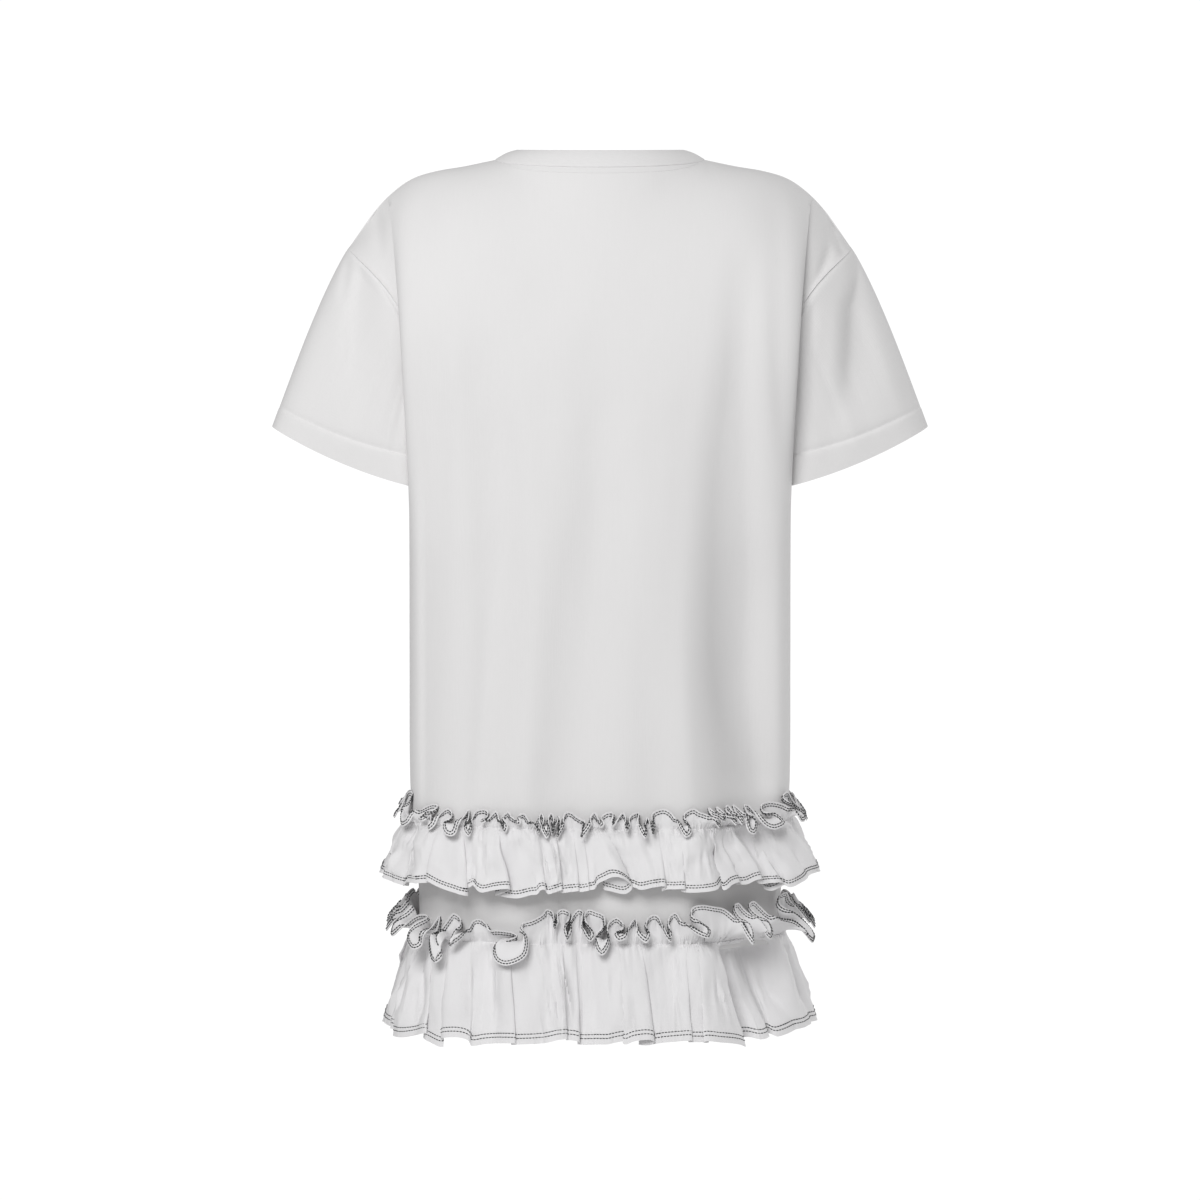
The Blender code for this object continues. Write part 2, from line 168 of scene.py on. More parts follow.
def cutOf(places):  # a grid's places on the flat cloth, measured from its middle column
    steps = np.linalg.norm(np.diff(places, axis=1), axis=2)
    across = np.concatenate([np.zeros((len(places), 1)), np.cumsum(steps, axis=1)], axis=1)
    middle = places.shape[1] // 2
    across -= across[:, middle:middle + 1]
    down = lengthsAlong(places[:, middle])[:, None] * np.ones_like(across)
    return np.stack([across, -down], axis=-1)


def clothSheet(name, cloth, places, wall, cut=None, closed=False, doubled=None, thin=1.0, even=False):
    piece = gridMesh(name, places, cutOf(places) if cut is None else cut)
    piece.data.materials.append(cloth)
    if closed:
        mergeEdges(0.00001)
    shell = piece.modifiers.new("wall", "SOLIDIFY")
    shell.thickness, shell.offset = wall, 0.0
    shell.use_even_offset, shell.thickness_clamp = even, 0.0
    if doubled is not None:  # the wall is full where the cloth is doubled, and thin times that elsewhere
        group = piece.vertex_groups.new(name="doubled")
        group.add(np.nonzero(doubled.ravel())[0].tolist(), 1.0, "REPLACE")
        shell.vertex_group, shell.thickness_vertex_group = group.name, thin
    return piece


def finishSheet(piece, angle=50.0):
    bpy.ops.object.select_all(action="DESELECT")
    piece.select_set(True)
    bpy.context.view_layer.objects.active = piece
    for modifier in list(piece.modifiers):
        bpy.ops.object.modifier_apply(modifier=modifier.name)
    bpy.ops.object.shade_smooth_by_angle(angle=math.radians(angle))
    return piece


# materials

oneRidge = 0.32  # a wave texture of this scale has about one ridge a unit


def linearColour(hexText):
    channels = [int(hexText[i:i + 2], 16) / 255.0 for i in (1, 3, 5)]
    return tuple(c / 12.92 if c <= 0.04045 else ((c + 0.055) / 1.055) ** 2.4 for c in channels) + (1.0,)


def addNode(tree, kind, settings=None, numbered=None, **named):  # an input takes a value, or a socket to link
    node = tree.nodes.new("ShaderNode" + kind)
    for key, value in (settings or {}).items():
        setattr(node, key, value)
    for key, value in {**(numbered or {}), **named}.items():
        if isinstance(value, bpy.types.NodeSocket):
            tree.links.new(value, node.inputs[key])
        else:
            node.inputs[key].default_value = value
    return node


def newMaterial(name, roughness, sheen, specular):
    material = bpy.data.materials.new(name)
    material.use_nodes = True
    tree = material.node_tree
    shader = tree.nodes["Principled BSDF"]
    look = {"Roughness": roughness, "Specular IOR Level": specular, "Sheen Weight": sheen,
            "Sheen Roughness": 0.5}
    for key, value in look.items():
        shader.inputs[key].default_value = value
    return material, tree, shader


def onCloth(tree, across, down):  # the cut's own coordinates, one unit for each step across and down the cloth
    cut = addNode(tree, "UVMap", {"uv_map": "UVMap"}).outputs["UV"]
    return addNode(tree, "Mapping", Vector=cut, Scale=(1 / across, 1 / down, 1.0)).outputs["Vector"]


def crossedThreads(tree, steps, uneven):  # ridges down the cloth times ridges across it
    place = onCloth(tree, *steps)
    ridges = [addNode(tree, "TexWave", {"bands_direction": way}, Vector=place, Scale=oneRidge,
                      Distortion=share, Detail=1.0).outputs["Fac"] for way, share in zip("XY", uneven)]
    return addNode(tree, "Math", {"operation": "MULTIPLY"}, dict(enumerate(ridges))).outputs[0]


def finishCloth(tree, shader, tone, look, height):  # its two colours by tone, and its relief by height
    dim, pale = (linearColour(hexText) for hexText in look["colours"])
    colour = addNode(tree, "Mix", {"data_type": "RGBA"}, Factor=tone, A=dim, B=pale)
    bump = addNode(tree, "Bump", Height=height, Strength=look["strength"], Distance=look["relief"])
    tree.links.new(colour.outputs["Result"], shader.inputs["Base Color"])
    tree.links.new(bump.outputs["Normal"], shader.inputs["Normal"])


def cottonJersey():  # single jersey: fine wales run down it and courses cross them, on a soft napped surface
    # the real wales are about 0.7 mm apart: drawn coarser so that they read
    knit = {"loops": (0.0011, 0.0009), "slubs": (0.0016, 0.030), "clouds": (0.05, 0.09), "slubHeight": 1.4,
            "colours": ("#e1e0e0", "#e5e4e4"), "strength": 0.22, "relief": 0.00025}
    material, tree, shader = newMaterial("cottonJersey", 0.88, 0.12, 0.25)
    slub, cloud = (
        addNode(tree, "TexNoise", {"noise_dimensions": "2D"}, Vector=onCloth(tree, *knit[key]), Scale=1.0,
                Detail=detail).outputs["Fac"] for key, detail in (("slubs", 3.0), ("clouds", 2.0)))
    halfCloud = addNode(tree, "Math", {"operation": "MULTIPLY"}, {0: cloud, 1: 0.5})
    tone = addNode(tree, "Math", {"operation": "MULTIPLY_ADD"}, {0: slub, 1: 0.5, 2: halfCloud.outputs[0]})
    loops = crossedThreads(tree, knit["loops"], (0.6, 0.5))
    height = addNode(tree, "Math", {"operation": "MULTIPLY_ADD"}, {0: slub, 1: knit["slubHeight"], 2: loops})
    finishCloth(tree, shader, tone.outputs[0], knit, height.outputs[0])
    return material


def cottonRib():  # one by one rib, so fine and full that its ribs hardly show
    rib = {"ribs": (0.0024, 0.001), "colours": ("#e0dfdf", "#e6e5e5"), "strength": 0.25, "relief": 0.0003}
    material, tree, shader = newMaterial("cottonRib", 0.90, 0.12, 0.25)
    place = onCloth(tree, *rib["ribs"])
    ribs = addNode(tree, "TexWave", Vector=place, Scale=oneRidge, Distortion=0.2, Detail=1.0)
    tone = addNode(tree, "TexNoise", {"noise_dimensions": "2D"}, Vector=place, Scale=0.5, Detail=2.0)
    finishCloth(tree, shader, tone.outputs["Fac"], rib, ribs.outputs["Fac"])
    return material


def cottonPoplin():  # plain weave: crisp, a little smoother than jersey, with fine pressed creases
    # the real threads are about 0.25 mm apart: drawn coarser so that they read
    weave = {"threads": (0.0010, 0.0010), "creases": (0.012, 0.030), "creaseHeight": 1.2,
             "colours": ("#e5e4e5", "#eae9ea"), "strength": 0.18, "relief": 0.0003}
    material, tree, shader = newMaterial("cottonPoplin", 0.72, 0.08, 0.35)
    place = onCloth(tree, *weave["creases"])
    creases = addNode(tree, "TexNoise", {"noise_dimensions": "2D", "noise_type": "RIDGED_MULTIFRACTAL"},
                      Vector=place, Scale=1.0, Detail=2.0)
    tone = addNode(tree, "TexNoise", {"noise_dimensions": "2D"}, Vector=place, Scale=0.6, Detail=2.0)
    threads = crossedThreads(tree, weave["threads"], (0.4, 0.4))
    height = addNode(tree, "Math", {"operation": "MULTIPLY_ADD"},
                     {0: creases.outputs["Fac"], 1: weave["creaseHeight"], 2: threads})
    finishCloth(tree, shader, tone.outputs["Fac"], weave, height.outputs[0])
    return material


def sewingThread(name, colours):  # spun polyester, twisted in plies that slant round it
    twist = {"plies": (0.0006, 1 / 3), "colours": colours, "strength": 0.4, "relief": 0.0001}
    material, tree, shader = newMaterial(name, 0.55, 0.15, 0.4)
    # the ply wave drives both the relief and the colour: darker in the grooves between the plies and paler on
    # their crests, which is painted shade
    plies = addNode(tree, "TexWave", {"bands_direction": "DIAGONAL"}, Vector=onCloth(tree, *twist["plies"]),
                    Scale=oneRidge, Distortion=0.3, Detail=1.0).outputs["Fac"]
    finishCloth(tree, shader, plies, twist, plies)
    return material


jerseyCloth, ribCloth, poplinCloth = cottonJersey(), cottonRib(), cottonPoplin()
# each thread's first colour is painted shade for the grooves between its plies, and the second is its paler
# crests
greyThread = sewingThread("greyThread", ("#242527", "#37383a"))
whiteThread = sewingThread("whiteThread", ("#dddcdc", "#e9e8e8"))
print("Materials made")


# the T-shirt's form: neck, shoulders, armholes and body, in metres

neckSeam = {"halfWidth": 0.0985, "sideZ": -0.0024, "back": 0.062, "backZ": -0.0084,
            "front": 0.095, "frontZ": -0.085}
neckEdge = {"halfWidth": 0.0778, "sideZ": 0.0066, "back": 0.050, "backZ": 0.0068,
            "front": 0.078, "frontZ": -0.066}
shoulder = {"out": (0.0985, 0.1280, 0.1560, 0.1780, 0.1960, 0.2120, 0.2260, 0.2388),
            "drop": (0.0024, 0.0086, 0.0134, 0.0203, 0.0326, 0.0488, 0.0672, 0.0863)}
underarm = {"out": 0.1712, "z": -0.2350}
armholeForm = {"back": 0.072, "front": 0.077, "bow": 0.0250}
body = {
    "z": (-0.235, -0.270, -0.312, -0.350, -0.400, -0.480, -0.590, -0.640, -0.690, -0.745),
    "halfWidth": (0.1832, 0.1815, 0.1796, 0.1795, 0.1798, 0.1802, 0.1800, 0.1765, 0.1722, 0.1715),
    "tuck": (0.0120, 0.0130, 0.0110, 0.0040, 0.0, 0.0, 0.0, 0.0, 0.0, 0.0),
    "back": (0.118, 0.119, 0.120, 0.121, 0.121, 0.122, 0.124, 0.123, 0.121, 0.121),
    "backTurn": (0.076, 0.073, 0.067, 0.058, 0.046, 0.036, 0.030, 0.030, 0.030, 0.030),
    "front": (0.144, 0.147, 0.149, 0.150, 0.151, 0.152, 0.152, 0.150, 0.147, 0.146),
    "frontTurn": (0.082, 0.078, 0.070, 0.058, 0.044, 0.034, 0.030, 0.030, 0.030, 0.030),
    "backSquare": 2.8, "frontSquare": 2.3, "tuckReach": 0.70,
}
# a panel turns in at its ridge, beside the sleeve. Shares run from the middle of the panel to its side seam.
ridge = {"share": 11 / 14, "foldsFade": 0.66, "startOut": 0.2000, "bulgeOut": 0.0032, "bulgeDeep": 0.0160,
         "leave": (-0.018, 0.007), "arrive": (-0.011, -0.004)}
jersey = {"wall": 0.0011, "armholeShare": 8 / 17, "armholeRows": 60, "skirtRows": 66, "ridgeColumns": 62,
          "sideColumns": 20, "seamDip": 0.0012}
# soft waves that hang down the cloth: width, height and depth of each kind
waves = {"wide": (0.055, 0.30, 0.0016), "fine": (0.019, 0.17, 0.00045), "dragged": (0.035, 0.16, 0.0006)}

# hanging folds: each knot is x and z of its darkest line, reach on the +X side, reach on the -X side, how
# far the cloth then takes to come back, and depth, in millimetres. A short reach on the -X side makes a
# sharp crease.
folds = {
    "back": (
        ((-121, -75, 16, 14, 20, 0), (-119, -161, 20, 14, 24, 4.5), (-117, -208, 26, 13, 30, 7.5),
         (-108, -285, 30, 24, 40, 12), (-104, -376, 32, 32, 50, 22), (-104, -488, 30, 30, 55, 33),
         (-113, -592, 32, 32, 55, 36)),
        ((15, -150, 24, 18, 40, 0), (18, -264, 28, 14, 45, 3.6), (24, -335, 28, 18, 50, 5),
         (41, -432, 28, 24, 55, 7), (50, -530, 30, 24, 55, 8.5), (56, -592, 30, 22, 55, 8.5)),
        ((130, -120, 20, 18, 26, 0), (122, -215, 26, 20, 30, 4.5), (115, -300, 30, 22, 34, 8),
         (114, -400, 34, 16, 42, 10.5), (111, -450, 38, 8, 46, 11.5), (121, -592, 40, 8, 48, 12)),
        ((96, -320, 9, 8, 14, 0), (98, -376, 12, 8, 16, 1.4), (106, -440, 12, 8, 16, 0)),
        ((160, -90, 12, 10, 18, 0), (161, -200, 12, 10, 18, 2.0), (158, -270, 12, 10, 18, 2.2),
         (160, -400, 12, 10, 18, 0)),
        ((-30, -420, 18, 14, 30, 0), (-34, -500, 18, 14, 30, 1.5), (-40, -592, 20, 14, 30, 2.4)),
        ((167, -260, 9, 3, 46, 0), (167, -360, 9, 3, 46, 5.5), (167, -592, 9, 3, 46, 6.5)),
    ),
    "front": (
        ((96, -220, 24, 20, 34, 0), (104, -330, 30, 18, 36, 6), (112, -450, 34, 14, 44, 10),
         (119, -592, 38, 12, 48, 12)),
        ((20, -240, 22, 20, 34, 0), (10, -380, 28, 20, 44, 4.5), (-8, -500, 30, 24, 52, 7.5),
         (-18, -592, 32, 24, 56, 8.5)),
        ((-104, -210, 22, 18, 30, 0), (-110, -330, 30, 26, 40, 9), (-106, -460, 34, 34, 50, 15),
         (-110, -592, 38, 36, 54, 17)),
        ((62, -330, 14, 12, 20, 0), (64, -460, 16, 12, 24, 2.2), (66, -592, 16, 12, 24, 3)),
        ((-60, -370, 12, 10, 18, 0), (-64, -480, 14, 10, 20, 1.8), (-68, -592, 14, 10, 22, 2.6)),
    ),
    "backCaps": (
        ((-212, -58, 5, 2, 8, 0), (-214, -76, 6, 2, 9, 3.4), (-212, -91, 6, 2, 9, 3.8),
         (-205, -109, 5, 3, 9, 2.8), (-198, -122, 5, 4, 8, 0)),
        ((-216, -58, 4, 2, 6, 0), (-221, -74, 4, 2, 6, 3.8), (-225, -86, 4, 2, 6, 3.4),
         (-230, -95, 4, 3, 6, 0)),
        ((216, -46, 9, 3, 9, 0), (214, -60, 9, 3, 10, 4.0), (212, -78, 8, 3, 10, 3.0), (210, -98, 6, 3, 8, 0)),
    ),
    "frontCaps": (
        ((-214, -54, 6, 4, 9, 0), (-214, -76, 7, 4, 10, 1.8), (-208, -104, 6, 4, 9, 0)),
        ((216, -52, 6, 3, 9, 0), (218, -70, 7, 3, 9, 1.8), (214, -96, 6, 3, 8, 0)),
    ),
    "leftSleeveBack": (
        ((227, -84, 5, 2, 12, 0), (227, -94, 6, 2, 20, 4.6), (230, -118, 7, 2, 28, 5.6),
         (236, -145, 9, 5, 34, 5.6), (240, -191, 12, 9, 40, 4.6), (241, -256, 13, 12, 40, 0)),
        ((238, -88, 3, 2, 8, 0), (241, -98, 4, 2, 12, 3.0), (245, -126, 4, 2, 14, 2.8),
         (248, -142, 4, 3, 10, 0)),
    ),
    "rightSleeveBack": (
        ((-237, -84, 5, 3, 8, 0), (-241, -98, 6, 2, 9, 6.8), (-240, -113, 8, 2, 14, 9.0),
         (-237, -127, 10, 3, 24, 10.4), (-233, -142, 12, 5, 34, 11.0), (-230, -194, 14, 9, 44, 8.8),
         (-226, -248, 18, 14, 44, 0)),
        ((-231, -90, 4, 2, 5, 0), (-234, -100, 4, 2, 5, 2.2), (-238, -120, 4, 2, 5, 0)),
        ((-194, -128, 6, 4, 9, 0), (-193, -150, 6, 5, 10, 1.8), (-190, -185, 6, 6, 10, 0)),
    ),
    "leftSleeveFront": (
        ((232, -88, 5, 3, 9, 0), (236, -110, 8, 4, 14, 3.2), (240, -150, 11, 7, 22, 4.2),
         (244, -240, 13, 10, 26, 0)),
    ),
    "rightSleeveFront": (
        ((-230, -86, 5, 3, 8, 0), (-234, -106, 7, 4, 12, 3.0), (-236, -150, 11, 8, 20, 4.4),
         (-236, -235, 14, 10, 26, 0)),
        ((-240, -88, 4, 2, 6, 0), (-246, -104, 4, 2, 6, 1.6), (-250, -128, 4, 2, 6, 0)),
    ),
}


def facingOf(side):
    return 1.0 if side == "back" else -1.0


def neckRing(ring, angle):  # angle 0 is the wearer's left, a quarter turn the middle of the back
    back = np.sin(angle) >= 0
    z = blendOf(ring["sideZ"], np.where(back, ring["backZ"], ring["frontZ"]), np.abs(np.sin(angle)))
    deep = np.where(back, ring["back"], ring["front"])
    return np.stack([ring["halfWidth"] * np.cos(angle), deep * np.sin(angle), z], axis=-1)


def shoulderLine(start, end):
    outs = np.linspace(start, end, 61)
    return np.stack([outs, 0.0 * outs, -curveAt(shoulder["out"], shoulder["drop"], outs)], axis=-1)


def pastRidge(shares):
    return np.clip((shares - ridge["share"]) / (1.0 - ridge["share"]), 0.0, 1.0)


def halfLine(toRidge, toSeam, shares):  # half a row: from the middle to the ridge, then on to the seam
    shares = np.asarray(shares)
    first = shareLine(toRidge, np.clip(shares / ridge["share"], 0.0, 1.0))
    return np.where((shares <= ridge["share"])[:, None], first, shareLine(toSeam, pastRidge(shares)))


def topEdge(side, shares):
    angles = facingOf(side) * quarterTurn * (1.0 - np.linspace(0.0, 1.0, 41)[:-1])
    neckline = neckRing(neckSeam, angles)
    toRidge = np.vstack([neckline, shoulderLine(shoulder["out"][0], ridge["startOut"])])
    return halfLine(toRidge, shoulderLine(ridge["startOut"], shoulder["out"][-1]), shares)


def halfSection(side, z, shares):
    keys = ("halfWidth", side, side + "Turn", "tuck")
    width, deep, turn, tuck = (curveAt(body["z"], body[key], z) for key in keys)
    power = 2.0 / body[side + "Square"]
    angle = np.linspace(0.0, quarterTurn, 161)
    out = turn + (deep - turn) * np.maximum(0.0, np.cos(angle)) ** power
    toRidge = np.stack([width * np.sin(angle) ** power, facingOf(side) * out, 0 * angle + z], axis=-1)
    share = np.linspace(0.0, 1.0, 161)
    tucked = tuck * easeOf(0.0, body["tuckReach"], share)
    toSeam = np.stack([width - tucked, facingOf(side) * turn * (1.0 - share), 0 * share + z], axis=-1)
    return halfLine(toRidge, toSeam, shares)


def armholeAt(side, share):  # 0 is the shoulder point and 1 the underarm
    sunk = (1.0 - np.cos(math.pi * share)) / 2.0
    bow = armholeForm["bow"] * np.sin(math.pi * share**0.85) ** 3
    out = blendOf(shoulder["out"][-1], underarm["out"], sunk) - bow
    power = blendOf(1.0, 0.24, easeOf(0.45, 0.82, share))  # squarer low down
    deep = armholeForm[side] * np.abs(np.sin(math.pi * share)) ** power * facingOf(side)
    return np.stack([out, deep, blendOf(-shoulder["drop"][-1], underarm["z"], sunk)], axis=-1)


def foldDepth(side, x, z):
    total = 0.0 * x
    for knots in folds[side]:
        table = np.array(knots, float) / 1000.0
        centre, left, right, back, deep = (curveAt(table[:, 1], table[:, k], z) for k in (0, 2, 3, 4, 5))
        deep = np.maximum(0.0, deep) * (1.0 - easeOf(table[0, 1] - 0.01, table[0, 1] + 0.01, z))
        past = centre - x
        sinking = np.clip((past + left) / left, 0.0, 1.0) ** 2 * left / (left + right)
        sunk = 1.0 - np.clip((right - past) / right, 0.0, 1.0) ** 2 * right / (left + right)
        total += deep * np.where(past < 0, sinking, sunk) * (1.0 - easeOf(0.0, 1.0, (past - right) / back))
    return total * blendOf(0.75, 1.0, easeOf(-0.625, -0.575, z))


def drape(side, x, z):  # more waves lower down, and dragged ones that slant from the shoulders
    start, seed = 20, 5 if side == "back" else 9
    lean, slant, fall = x + 0.06 * (z + 0.3), x * 0.8 + z * 0.6, z * 0.8 - x * 0.6
    layers = (("wide", lean, z), ("fine", lean, z), ("dragged", slant, fall))
    wide, fine, dragged = (
        softNoise(u / waves[kind][0] + start, v / waves[kind][1] + start, seed + i) * waves[kind][2]
        for i, (kind, u, v) in enumerate(layers))
    low, middle = easeOf(-0.10, -0.30, z), easeOf(-0.50, -0.25, z)
    return (wide + fine) * low + dragged * easeOf(-0.03, -0.12, z) * middle


def faceAbove(side, share, top, chest, fall):  # the face of the panel from the top edge down to the underarm
    byFace = easeOf(0.20, 0.40, share) * (1.0 - easeOf(0.60, ridge["share"], share))
    out = math.sin(quarterTurn * fall) ** blendOf(1.0, 0.86, byFace)
    steep = blendOf(0.60, 0.05, easeOf(0.20, 0.45, share))
    steep = blendOf(steep, 0.40, easeOf(0.55, ridge["share"], share))
    down = blendOf(1.0 - math.cos(quarterTurn * fall), fall, steep)
    swell = max(0.0, math.sin(math.pi * fall)) ** 0.7 * easeOf(0.45, ridge["share"], share)
    x = blendOf(top[..., 0], chest[..., 0], math.sin(quarterTurn * fall)) + ridge["bulgeOut"] * swell
    y = blendOf(top[..., 1], chest[..., 1], out) + ridge["bulgeDeep"] * swell * facingOf(side)
    return np.stack([x, y, blendOf(top[..., 2], chest[..., 2], down)], axis=-1)


def capAbove(side, shares, start, top, chest, fall):  # the part that turns in, from the ridge to the armhole
    seam = armholeAt(side, np.array([fall**1.3]))[0]
    pull = math.sin(math.pi * fall) ** 0.8 if fall < 1.0 else 0.0
    leave, arrive = (np.array([ridge[key][0], ridge[key][1] * facingOf(side), 0.0]) * pull
                     for key in ("leave", "arrive"))
    arrive = arrive * (1.0 - easeOf(0.40, 0.70, fall))
    past = pastRidge(shares)[:, None]
    row = bezierAt(start, start + leave, seam + arrive, seam, past)
    inside = 1.0 - past**3
    row = blendOf(row, top, (1.0 - easeOf(0.0, 0.15, fall)) * inside)
    return blendOf(row, chest, easeOf(0.80, 1.0, fall) * inside)


def softenPanel(places, shares, downs):  # evens out ridges that run down from the neck and by the underarm
    byTop = (easeOf(0.0, 0.16, downs) * (1.0 - easeOf(0.45, 0.62, downs)))[:, None, None]
    byTop = byTop * (1.0 - easeOf(0.62, 0.76, shares))[None, :, None]
    for width in (45, 31):
        across = smoothRun(places.transpose(1, 0, 2), width).transpose(1, 0, 2)
        places = blendOf(places, across, byTop)
    midway = 1.0 - easeOf(0.06, 0.12, np.abs(downs - jersey["armholeShare"]))
    inside = (1.0 - easeOf(0.74, 0.92, shares))[None, :, None]
    inside = inside * (easeOf(0.02, 0.12, downs) * midway)[:, None, None]
    for width in (17, 13):
        places = blendOf(places, smoothRun(places, width), inside)
    return places


def panelGrid(side, across, downs):
    shares, corner = np.abs(across), np.array([ridge["share"]])
    top, chest = topEdge(side, shares), halfSection(side, underarm["z"], shares)
    ridgeTop, ridgeChest = topEdge(side, corner), halfSection(side, underarm["z"], corner)
    rows = []
    for down in downs:
        if down > jersey["armholeShare"]:
            share = (down - jersey["armholeShare"]) / (1.0 - jersey["armholeShare"])
            row = halfSection(side, blendOf(underarm["z"], body["z"][-1], share), shares)
        else:
            fall = down / jersey["armholeShare"]
            start = faceAbove(side, corner, ridgeTop, ridgeChest, fall)[0]
            face = faceAbove(side, shares, top, chest, fall)
            cap = capAbove(side, shares, start, top, chest, fall)
            row = np.where((shares <= ridge["share"])[:, None], face, cap)
        row[:, 0] = np.copysign(row[:, 0], across)
        rows.append(row)
    places = softenPanel(np.array(rows), shares, downs)
    x, z = places[..., 0], places[..., 2]
    onFace = (1.0 - easeOf(ridge["foldsFade"], ridge["share"], shares))[None, :]
    onCap = (easeOf(0.79, 0.85, shares) * (1.0 - easeOf(0.975, 1.0, shares)))[None, :]
    bySeam = 1.0 - easeOf(0.0, 0.012, downs)[:, None]
    sunk = foldDepth(side, x, z) * onFace + foldDepth(side + "Caps", x, z) * onCap + jersey["seamDip"] * bySeam
    places[..., 1] -= facingOf(side) * sunk
    waving = (1.0 - easeOf(ridge["foldsFade"], 0.86, shares))[None, :]
    places[..., 1] += facingOf(side) * drape(side, x, z) * waving
    return places


def makePanel(side):
    half = twoRuns(ridge["share"], jersey["ridgeColumns"], jersey["sideColumns"])
    across = np.concatenate([-half[:0:-1], half])[::int(facingOf(side))]  # the face points outwards
    downs = twoRuns(jersey["armholeShare"], jersey["armholeRows"], jersey["skirtRows"])
    places = panelGrid(side, across, downs)
    return finishSheet(clothSheet(side + "JerseyPanel", jerseyCloth, places, jersey["wall"])), places


sheets, panelPlaces, threads = {}, {}, {}
for side in ("back", "front"):
    sheets[side + "_panel"], panelPlaces[side] = makePanel(side)
print("Panels made")


# sleeves: a slanted tube with a turned hem band at the cuff

sleeve = {
    "cuffOuter": (0.3110, -0.2546), "cuffInner": (0.1785, -0.3092),  # x and z of the cuff's two ends
    "halfDeep": (0.048, 0.068), "square": (0.42, 0.085), "hem": (0.0190, 0.0280),  # at the same two ends
    "clear": 0.0036, "lift": (0.0038, 0.0020), "bow": 0.0055, "lap": 0.0011, "dip": 0.0018, "turnIn": 0.0014,
    "hemWall": 0.00165, "thin": 0.62, "hemStep": 0.0007, "hemGroove": (0.0015, 0.0028),
    "pucker": (0.006, 0.009, 0.00025),  # width, height and depth
    "waves": ((3, 2, 0.0014), (9, 1.5, 0.0005)),  # how many round, how fast they drift, and depth
    "seeds": {"leftSleeve": (31, 41), "rightSleeve": (37, 43)},
    "columns": 150, "rows": 34, "seamRows": (0.0, 0.004, 0.008, 0.012, 0.0225),
    "lowRows": (0.972, 0.98, 0.986, 0.992, 1.0),
    "bandRows": (0.03, 0.08, 0.16, 0.30, 0.45, 0.60, 0.75, 0.90, 1.0),
}


def sleeveAt(mirror, turn, down, band):
    # turn runs once round from the shoulder by the back, down from armhole to hem line, and band over the hem
    angle, hand = 2 * math.pi * turn, "leftSleeve" if mirror > 0 else "rightSleeve"
    low, facing = 0.5 - 0.5 * np.cos(angle), np.sign(np.sin(angle))
    halves = (("back", 2 * turn), ("front", 2 - 2 * turn))
    seam = np.where((turn <= 0.5)[..., None], *(armholeAt(side, np.clip(run, 0, 1)) for side, run in halves))
    seam[..., 0] += sleeve["clear"] * low
    outer, inner = (np.array([x, 0.0, z]) for x, z in (sleeve["cuffOuter"], sleeve["cuffInner"]))
    cuff = blendOf(outer, inner, low[..., None])
    power = blendOf(*sleeve["square"], low)
    cuff[..., 1] += blendOf(*sleeve["halfDeep"], low**2) * facing * np.abs(np.sin(angle)) ** power
    cuff[..., 2] -= sleeve["bow"] * np.sin(angle) ** 2
    length = np.linalg.norm(cuff - seam, axis=-1)
    hemShare = blendOf(*sleeve["hem"], low) / length
    share = blendOf(-sleeve["lap"] / length, 1.0 - hemShare, down) + hemShare * band
    place = blendOf(seam, cuff, share[..., None])
    lift = np.sin(math.pi * np.clip(share, 0.0, 1.0) ** 0.7)
    place[..., 0] += sleeve["lift"][0] * lift * (1.0 - low)
    place[..., 2] += sleeve["lift"][1] * lift * (1.0 - low)
    swing = sum(softNoise(10 + often * np.cos(angle) + drift * share, 10 + often * np.sin(angle), seed) * deep
                for (often, drift, deep), seed in zip(sleeve["waves"], sleeve["seeds"][hand]))
    place[..., 1] += np.sin(angle) * swing * np.sin(math.pi * np.clip(share, 0.0, 1.0))
    tucked = 1.0 - easeOf(-0.5 * sleeve["lap"] / length, 0.0, share)  # the edge turns in, under the panel
    place[..., 0] -= tucked * (sleeve["clear"] * low + sleeve["turnIn"]) * np.abs(np.sin(angle))**0.5
    place[..., 0] *= mirror
    x, z = place[..., 0], place[..., 2]
    sunk = np.where(facing > 0, foldDepth(hand + "Back", x, z), foldDepth(hand + "Front", x, z))
    sunk = sunk * easeOf(0.0, 0.05, share) + sleeve["dip"] * (1.0 - easeOf(0.004, 0.020, share))
    fromHem = (share - 1.0 + hemShare) * length
    wide, tall, deep = sleeve["pucker"]
    pucker = softNoise(x / wide + 40, z / tall + 40, 47) * deep * bellOf(fromHem, 0.006)
    over, reach = sleeve["hemGroove"]
    step = sleeve["hemStep"] * (easeOf(-0.0006, 0.0006, fromHem) - 1.3 * bellOf(fromHem + over, reach))
    onFace = easeOf(0.0, 0.35, np.abs(np.sin(angle)))
    place[..., 1] += facing * onFace * (step + pucker - sunk)
    return place


def makeSleeve(name, mirror):
    ring = np.linspace(0.0, 1.0, 4001)[None, :]
    reach = lengthsAlong(sleeveAt(mirror, ring, 1.0 + 0 * ring, 1.0 + 0 * ring)[0])
    turns = np.interp(np.linspace(0.0, reach[-1], sleeve["columns"] + 1), reach, ring[0])
    downs = np.concatenate([sleeve["seamRows"], np.linspace(0.03, 0.96, sleeve["rows"]), sleeve["lowRows"]])
    bands = np.array(sleeve["bandRows"])
    turn, down = np.meshgrid(turns, np.concatenate([downs, 1.0 + 0 * bands]))
    band = np.concatenate([0 * downs, bands])[:, None] * np.ones_like(turn)
    places = sleeveAt(mirror, turn, down, band)
    places[:, -1] = places[:, 0]
    piece = clothSheet(name, jerseyCloth, places, sleeve["hemWall"], closed=True, doubled=band > 0.02,
                       thin=sleeve["thin"])
    return finishSheet(piece)


for hand, mirror in (("left", 1.0), ("right", -1.0)):
    sheets[hand + "_sleeve"] = makeSleeve(hand + "JerseySleeve", mirror)
print("Sleeves made")


# neck rib: a doubled band with a rounded free edge

collar = {"columns": 180, "rows": 8, "wall": 0.0022, "round": 0.0009, "arch": 0.0014, "overlap": 0.0006}


